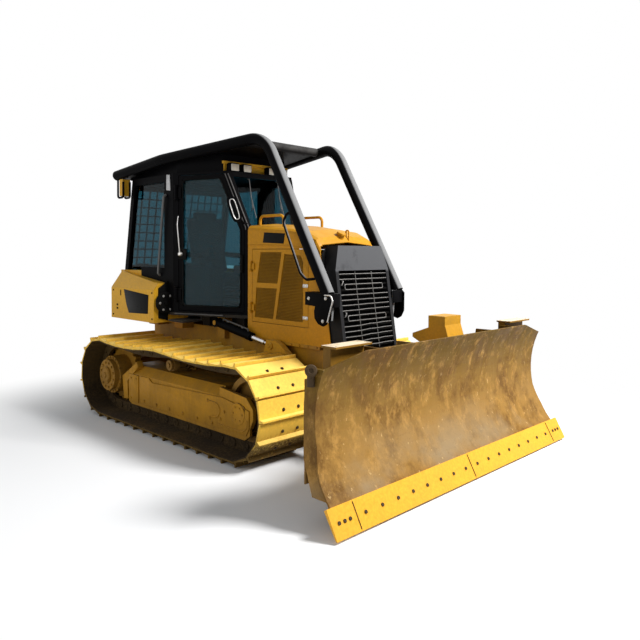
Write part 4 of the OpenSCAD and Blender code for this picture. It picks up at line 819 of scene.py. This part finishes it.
for name, s in sides:
    under = seat_on((rear_x + 0.035, s * 0.75, rear_low), (0, 0, -1), (1, 0, 0))
    slab(lenses, under_form, lens_thick, under, 0.002)
    for y in hoop_y:
        bent_bar(cups, [(x, s * y, z) for x, z in hoop], machine, 0.012, 0.03)
    behind = seat_on((rear_x, s * 0.755, rear_low + 0.11), (-1, 0, 0))
    slab(lenses, behind_form, lens_thick, behind, 0.002)
piece("lamp_cups", cups, cab_black, "tractor")
piece("lamp_lenses", lenses, lens, "tractor")

# Glass: tinted safety panes set in rubber, with a film of dust on the doors' panes. Two
# wipers hang from the windshield's top edge.
pane, pane_tree, pane_coat = new_paint("tinted_glass")
pane_dust = noise(pane_tree, 3.0, 6, 0.5)
pane_tint = two_tones(pane_tree, pane_dust, (0.060, 0.185, 0.235), (0.090, 0.250, 0.295))
feed(pane_tree, pane_coat, {"Base Color": pane_tint,
                            "Roughness": span(pane_tree, pane_dust, 0.4, 0.8, 0.01, 0.10),
                            "Transmission Weight": 1.0, "IOR": 1.18})
dress(pane, "cab_glass")
door_pane = pane.copy()
door_pane.name = "door_glass_tint"
door_pane.node_tree.nodes["Principled BSDF"].inputs["Transmission Weight"].default_value = 0.93
dress(door_pane, "door_glass_right", "door_glass_left")
shield_arm = ((0.150, 0.0, 2.585), (0.215, 0.0, 2.575), (0.345, -0.06, 2.26), (0.325, -0.06, 2.24))
shield_blade = ((0.312, -0.06, 2.40), (0.402, -0.06, 2.16))
wipers = bmesh.new()
for y in (-0.20, 0.20):
    for line, r in ((shield_arm, 0.0045), (shield_blade, 0.005)):
        bent_bar(wipers, [(x, y + dy, z) for x, dy, z in line], machine, r, 0.02, 8)
piece("shield_wipers", wipers, strip_grey, "tractor")

# Seat: moulded foam under woven cloth, with sewn channels across the cushion and the back,
# on a rubber bellows pedestal bolted to the cab floor, with padded arms.
cloth, cloth_tree, cloth_coat = new_paint("seat_cloth")
weave = node(cloth_tree, "TexChecker", {"Vector": object_place(cloth_tree), "Scale": 260,
                                        "Color1": (0.050, 0.052, 0.058, 1),
                                        "Color2": (0.022, 0.022, 0.025, 1)})
weave_bump = node(cloth_tree, "Bump", {"Strength": 0.25, "Distance": 0.002, "Height": weave.outputs["Fac"]})
feed(cloth_tree, cloth_coat, {"Base Color": weave.outputs["Color"], "Roughness": 0.9, "Sheen Weight": 0.3,
                              "Normal": weave_bump.outputs[0]})


def cushion(bm, half, place, crown, channels=()):
    part = bmesh.new()
    bmesh.ops.create_cube(part, size=2.0)
    bmesh.ops.subdivide_edges(part, edges=part.edges[:], cuts=23, use_grid_fill=True)
    soft_edge = min(half) * 0.75
    for v in part.verts:
        x, y, z = v.co
        full = Vector((x * half[0], y * half[1], z * half[2]))
        core = Vector([max(-(h - soft_edge), min(h - soft_edge, c)) for c, h in zip(full, half)])
        rest = full - core
        full = core + rest.normalized() * min(rest.length, soft_edge) if rest.length > 1e-9 else full
        full.x *= 1 - 0.05 * (1 - y * y)
        full.y *= 1 - 0.04 * (1 - x * x)
        full.z += crown * (1 - x * x) * (1 - y * y) * (1 if z > 0 else 0.2)
        for level in channels:
            full.z -= (0.016 if z > 0 else 0.0) * math.exp(-((x - level) / 0.045) ** 2)
        v.co = full
    take_in(bm, part, place)


def in_cab(x, y, up):
    return Matrix.Translation((mid_track + x, y, floor_z + up))


back_lean = Matrix.Rotation(math.radians(90) - math.atan2(0.13, 0.67), 4, "Y")
base_half, back_half, head_half = (0.25, 0.245, 0.072), (0.325, 0.235, 0.062), (0.10, 0.15, 0.045)
base_seams, back_seams = (-0.45, 0.1, 0.6), (-0.35, 0.1, 0.55)
seat_pads = bmesh.new()
cushion(seat_pads, base_half, in_cab(-0.44, 0, 0.325), 0.020, base_seams)
cushion(seat_pads, back_half, in_cab(-0.80, 0, 0.72) @ back_lean, 0.018, back_seams)
cushion(seat_pads, head_half, in_cab(-0.845, 0, 1.02) @ back_lean, 0.012)
seat_cushions = piece("seat_cushions", seat_pads, cloth, "tractor", 60)
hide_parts("seat")
folds = [(0.19 + (0.014 if k % 2 else 0.0), 0.02 + 0.025 * k) for k in range(9)]
bellows = [(0.0, 0.0), (0.21, 0.0), (0.21, 0.02)] + folds + [(0.22, 0.235), (0.22, 0.252), (0.0, 0.252)]
seat_arm = ((-0.80, 0.26, 0.62), (-0.45, 0.275, 0.60), (-0.42, 0.275, 0.58))
pedestal = bmesh.new()
turned(pedestal, bellows, in_cab(-0.45, 0, 0), 40)
for name, s in sides:
    bent_bar(pedestal, [(x, s * y, up) for x, y, up in seat_arm], in_cab(0, 0, 0), 0.030, 0.05, 12)
piece("seat_pedestal", pedestal, rubber, "tractor")

# Consoles: moulded plastic boxes beside the seat and at the windshield, with two control
# sticks, a small screen with a plain dark face and the dash hood.
moulded = enamel("moulded_plastic", (0.05, 0.052, 0.055), (0.09, 0.08, 0.07), rough=0.6, dirt=0.35, chips=0.0,
                 bump=0.1, gloss=0.3)
dress(moulded, "console")
boot_form = [(0.05, 0.0), (0.05, 0.012), (0.032, 0.03), (0.022, 0.06), (0.0, 0.06)]
knob_form = [(0.012, 0.0), (0.024, 0.02), (0.028, 0.06), (0.024, 0.10), (0.012, 0.118), (0.0, 0.12)]
stick_y, rest_half = 0.385, (0.17, 0.045, 0.02)
stick_line = ((0, 0, 0.05), (0.015, 0, 0.12))
screen_post = ((0.28, -0.17, 0.60), (0.275, -0.17, 0.71))
screen_form, dash_form = soft_square(0.11, 0.075, 0.015), soft_square(0.24, 0.05, 0.03)
screen_thick, dash_deep = 0.03, 0.20
sticks = bmesh.new()
for name, s in sides:
    base = in_cab(-0.20, s * stick_y, 0.48)
    turned(sticks, boot_form, base, 24)
    bent_bar(sticks, stick_line, base, 0.012)
    turned(sticks, knob_form, base @ Matrix.Translation((0.014, 0, 0.11)), 20)
    cushion(sticks, rest_half, in_cab(-0.46, s * stick_y, 0.505), 0.004)
screen_place = seat_on((0.26, -0.17, floor_z + 0.71), (-1, 0, 0.35))
slab(sticks, screen_form, screen_thick, screen_place, 0.006)
bent_bar(sticks, screen_post, in_cab(0, 0, 0), 0.014)
slab(sticks, dash_form, dash_deep, seat_on((0.19, 0.0, floor_z + 0.62), (1, 0, 0.1)), 0.01)
piece("console_controls", sticks, moulded, "tractor")

# C-frame and blade tower: welded heavy plate in yellow enamel with greased pins. Round caps
# close the pivots.
push_enamel = enamel("push_enamel", (0.55, 0.27, 0.012), (0.30, 0.17, 0.045), dirt=0.5, low_dark=0.4, low_dark_top=0.6,
                     chips=0.5, dust_and_light=0.4, pale=(0.80, 0.58, 0.22))
tower_enamel = enamel("tower_enamel", (0.52, 0.25, 0.012), (0.30, 0.16, 0.03), dirt=0.35, chips=0.4,
                      dust_and_light=0.5, pale=(0.60, 0.36, 0.08))
dress(push_enamel, "c_arm_right", "c_arm_left", "c_nose")
dress(tower_enamel, "blade_tower")
arm_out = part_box("c_arm_left")[1][1]
arm_pins = ((0.420, 0.470, 0.070), (0.860, 0.915, 0.034))
for name, s in sides:
    caps = bmesh.new()
    for x, z, r in arm_pins:
        cap = [(r, 0.0), (r, 0.010), (r * 0.9, 0.014), (r * 0.3, 0.014), (r * 0.22, 0.022), (0.0, 0.024)]
        turned(caps, cap, flank(s, arm_out, x, z), 28)
        bolt_ring(caps, flank(s, arm_out + 0.013, x, z), 4, r * 0.62, r * 0.13, 0.007, 0.5)
    piece("arm_caps_" + name, caps, push_enamel, "c_frame")

# Hydraulic cylinders: black barrels with a steel pipe along each lift barrel, and rods of
# ground steel in hard chrome.
chrome = enamel("rod_chrome", (0.62, 0.62, 0.63), (0.25, 0.2, 0.14), rough=0.16, metal=1.0, dirt=0.25,
                chips=0.0, bump=0.02)
dress(cab_black, "lift_barrels", "angle_barrel_right", "angle_barrel_left", "tilt_barrel")
dress(chrome, "lift_rods", "angle_rod_right", "angle_rod_left", "tilt_rod")
lift_base, lift_pin, lift_y = Vector((-0.010, 0, 1.070)), Vector((0.860, 0, 0.915)), 0.440
lift_run = (lift_pin - lift_base).normalized()
lift_up = Vector((-lift_run.z, 0, lift_run.x))
pipe_line = ((0.09, 0.036), (0.09, 0.060), (0.50, 0.060), (0.50, 0.038))
for name, s in sides:
    lines = bmesh.new()
    beside = Vector((0, s * lift_y, 0))
    route = [lift_base + beside + lift_run * far + lift_up * above for far, above in pipe_line]
    bent_bar(lines, route, machine, 0.008, 0.02)
    for far in (0.18, 0.42):
        clamp = Matrix.Translation(lift_base + beside + lift_run * far + lift_up * 0.050)
        slab(lines, soft_square(0.018, 0.014, 0.005), 0.014, machine @ clamp, 0.003)
    piece("lift_pipe_" + name, lines, strip_grey, "lift_cylinders")

# Blade: a rolled plate with a boxed back, worn through its yellow paint to brown steel, with
# pale scratches that run down it and grey bare metal low at the ends.
board, board_tree, board_coat = new_paint("worn_board")
olive, tan = (0.120, 0.068, 0.009), (0.265, 0.142, 0.033)
rust, ochre = (0.105, 0.048, 0.010), (0.43, 0.235, 0.06)
bare, pale_scratch, soil = (0.25, 0.185, 0.105), (0.72, 0.50, 0.22), (0.12, 0.06, 0.02)
board_z = height(board_tree)
low_ends = both_of(board_tree, "MULTIPLY", span(board_tree, board_z, 0.60, 0.25),
                   span(board_tree, noise(board_tree, 1.6, 5, 0.55), 0.46, 0.66, 0.0, 0.8))
# The olive darkening towards the blade's top is painted shade under its curl.
board_look = over(board_tree, tan, olive, span(board_tree, board_z, 0.45, 1.05))
for colour, share in (
        (rust, span(board_tree, noise(board_tree, 3.6, 10, 0.74, (1, 1, 0.8), 0.25), 0.47, 0.62, 0.0, 0.8)),
        (ochre, span(board_tree, noise(board_tree, 10, 9, 0.74, (1, 1, 0.62), 0.2), 0.52, 0.68, 0.0, 0.7)),
        (bare, low_ends),
        (pale_scratch, span(board_tree, noise(board_tree, 34, 6, 0.66, (1, 1, 0.34), 0.4),
                            0.63, 0.73, 0.0, 0.7)),
        (soil, span(board_tree, noise(board_tree, 60, 4, 0.6), 0.58, 0.75, 0.0, 0.45))):
    board_look = over(board_tree, board_look, colour, share)
board_soft = node(board_tree, "Bevel", {"Radius": 0.006}, samples=3).outputs[0]
board_bump = node(board_tree, "Bump", {"Strength": 0.25, "Distance": 0.006, "Normal": board_soft,
                                       "Height": noise(board_tree, 14, 6, 0.65, (1, 1, 0.5), 0.3)})
board_dull = span(board_tree, noise(board_tree, 9, 6, 0.6, (1, 1, 0.4)), 0.3, 0.7, 0.30, 0.62)
feed(board_tree, board_coat, {"Base Color": board_look, "Roughness": board_dull, "Specular IOR Level": 0.07,
                              "Normal": board_bump.outputs[0]})
dress(board, "moldboard")
knob_x, knob_y, knob_z = 2.475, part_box("moldboard")[0][1] + 0.030, 0.985
knob_head = [(0.0, -0.034), (0.036, -0.034), (0.042, -0.026), (0.042, 0.026), (0.036, 0.034), (0.018, 0.036),
             (0.014, 0.030), (0.0, 0.030)]
knob = bmesh.new()
bent_bar(knob, [(knob_x, knob_y, knob_z + up) for up in (-0.06, 0.03)], machine, 0.026)
turned(knob, knob_head, seat_on((knob_x, knob_y, knob_z + 0.045), (0.7, -0.7, 0.2)), 28)
piece("blade_knob", knob, bolt_iron, "blade")

# Mast brackets: boxed posts of welded plate on the blade's back, with bolted cap plates.
# Their yellow is set dark brown as painted shade, and pale dust with painted sunlight lies on the caps.
mast_enamel = enamel("mast_enamel", (0.25, 0.122, 0.012), (0.115, 0.064, 0.017), dirt=0.4, chips=0.5,
                     dust_and_light=0.95, pale=(0.76, 0.62, 0.44), patches=(0.2, 0.45))
dress(mast_enamel, "mast_brackets")

# Cutting edges and end bits: hard steel bars in fresh yellow paint, held by square-necked
# bolts whose heads lie in dark recesses. Soil fills the joints between the bars.
edge_enamel = enamel("edge_enamel", (0.70, 0.352, 0.028), (0.42, 0.22, 0.04), rough=0.36, dirt=0.22,
                     chips=0.5, chip=(0.30, 0.20, 0.08), bump=0.05)
dress(edge_enamel, "cutting_edges")
tip_x, tip_z, edge_top_x, edge_top_z = 2.792, 0.018, 2.686, 0.183
edge_run = Vector((tip_x - edge_top_x, 0, tip_z - edge_top_z)).normalized()
edge_out = Vector((-edge_run.z, 0, edge_run.x))
blade_half, bit_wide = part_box("cutting_edges")[1][1], 0.240
plate_wide, plate_bolts = blade_half - bit_wide, 8
head_row = ([(i + 0.5) / plate_bolts * plate_wide for i in range(plate_bolts)] +
            [blade_half - bit_wide * share for share in (0.72, 0.5, 0.28)])
head_form = [(0.0125, -0.004), (0.0125, 0.001), (0.0095, 0.0015), (0.007, -0.001), (0.0, -0.001)]
joint_ends = ((0.008, 0.0238), (0.186, 0.0103))


def on_edge(y, down, out):
    return Vector((edge_top_x, y, edge_top_z)) + edge_run * down + edge_out * out


edge_heads = bmesh.new()
for name, s in sides:
    for y in head_row:
        turned(edge_heads, head_form, seat_on(on_edge(s * y, 0.100, 0.0195), edge_out, (0, 1, 0)), 16)
for y in (-plate_wide, 0.0, plate_wide):
    bent_bar(edge_heads, [on_edge(y, down, out) for down, out in joint_ends], machine, 0.0024)
piece("edge_bolts", edge_heads, bolt_iron, "blade")
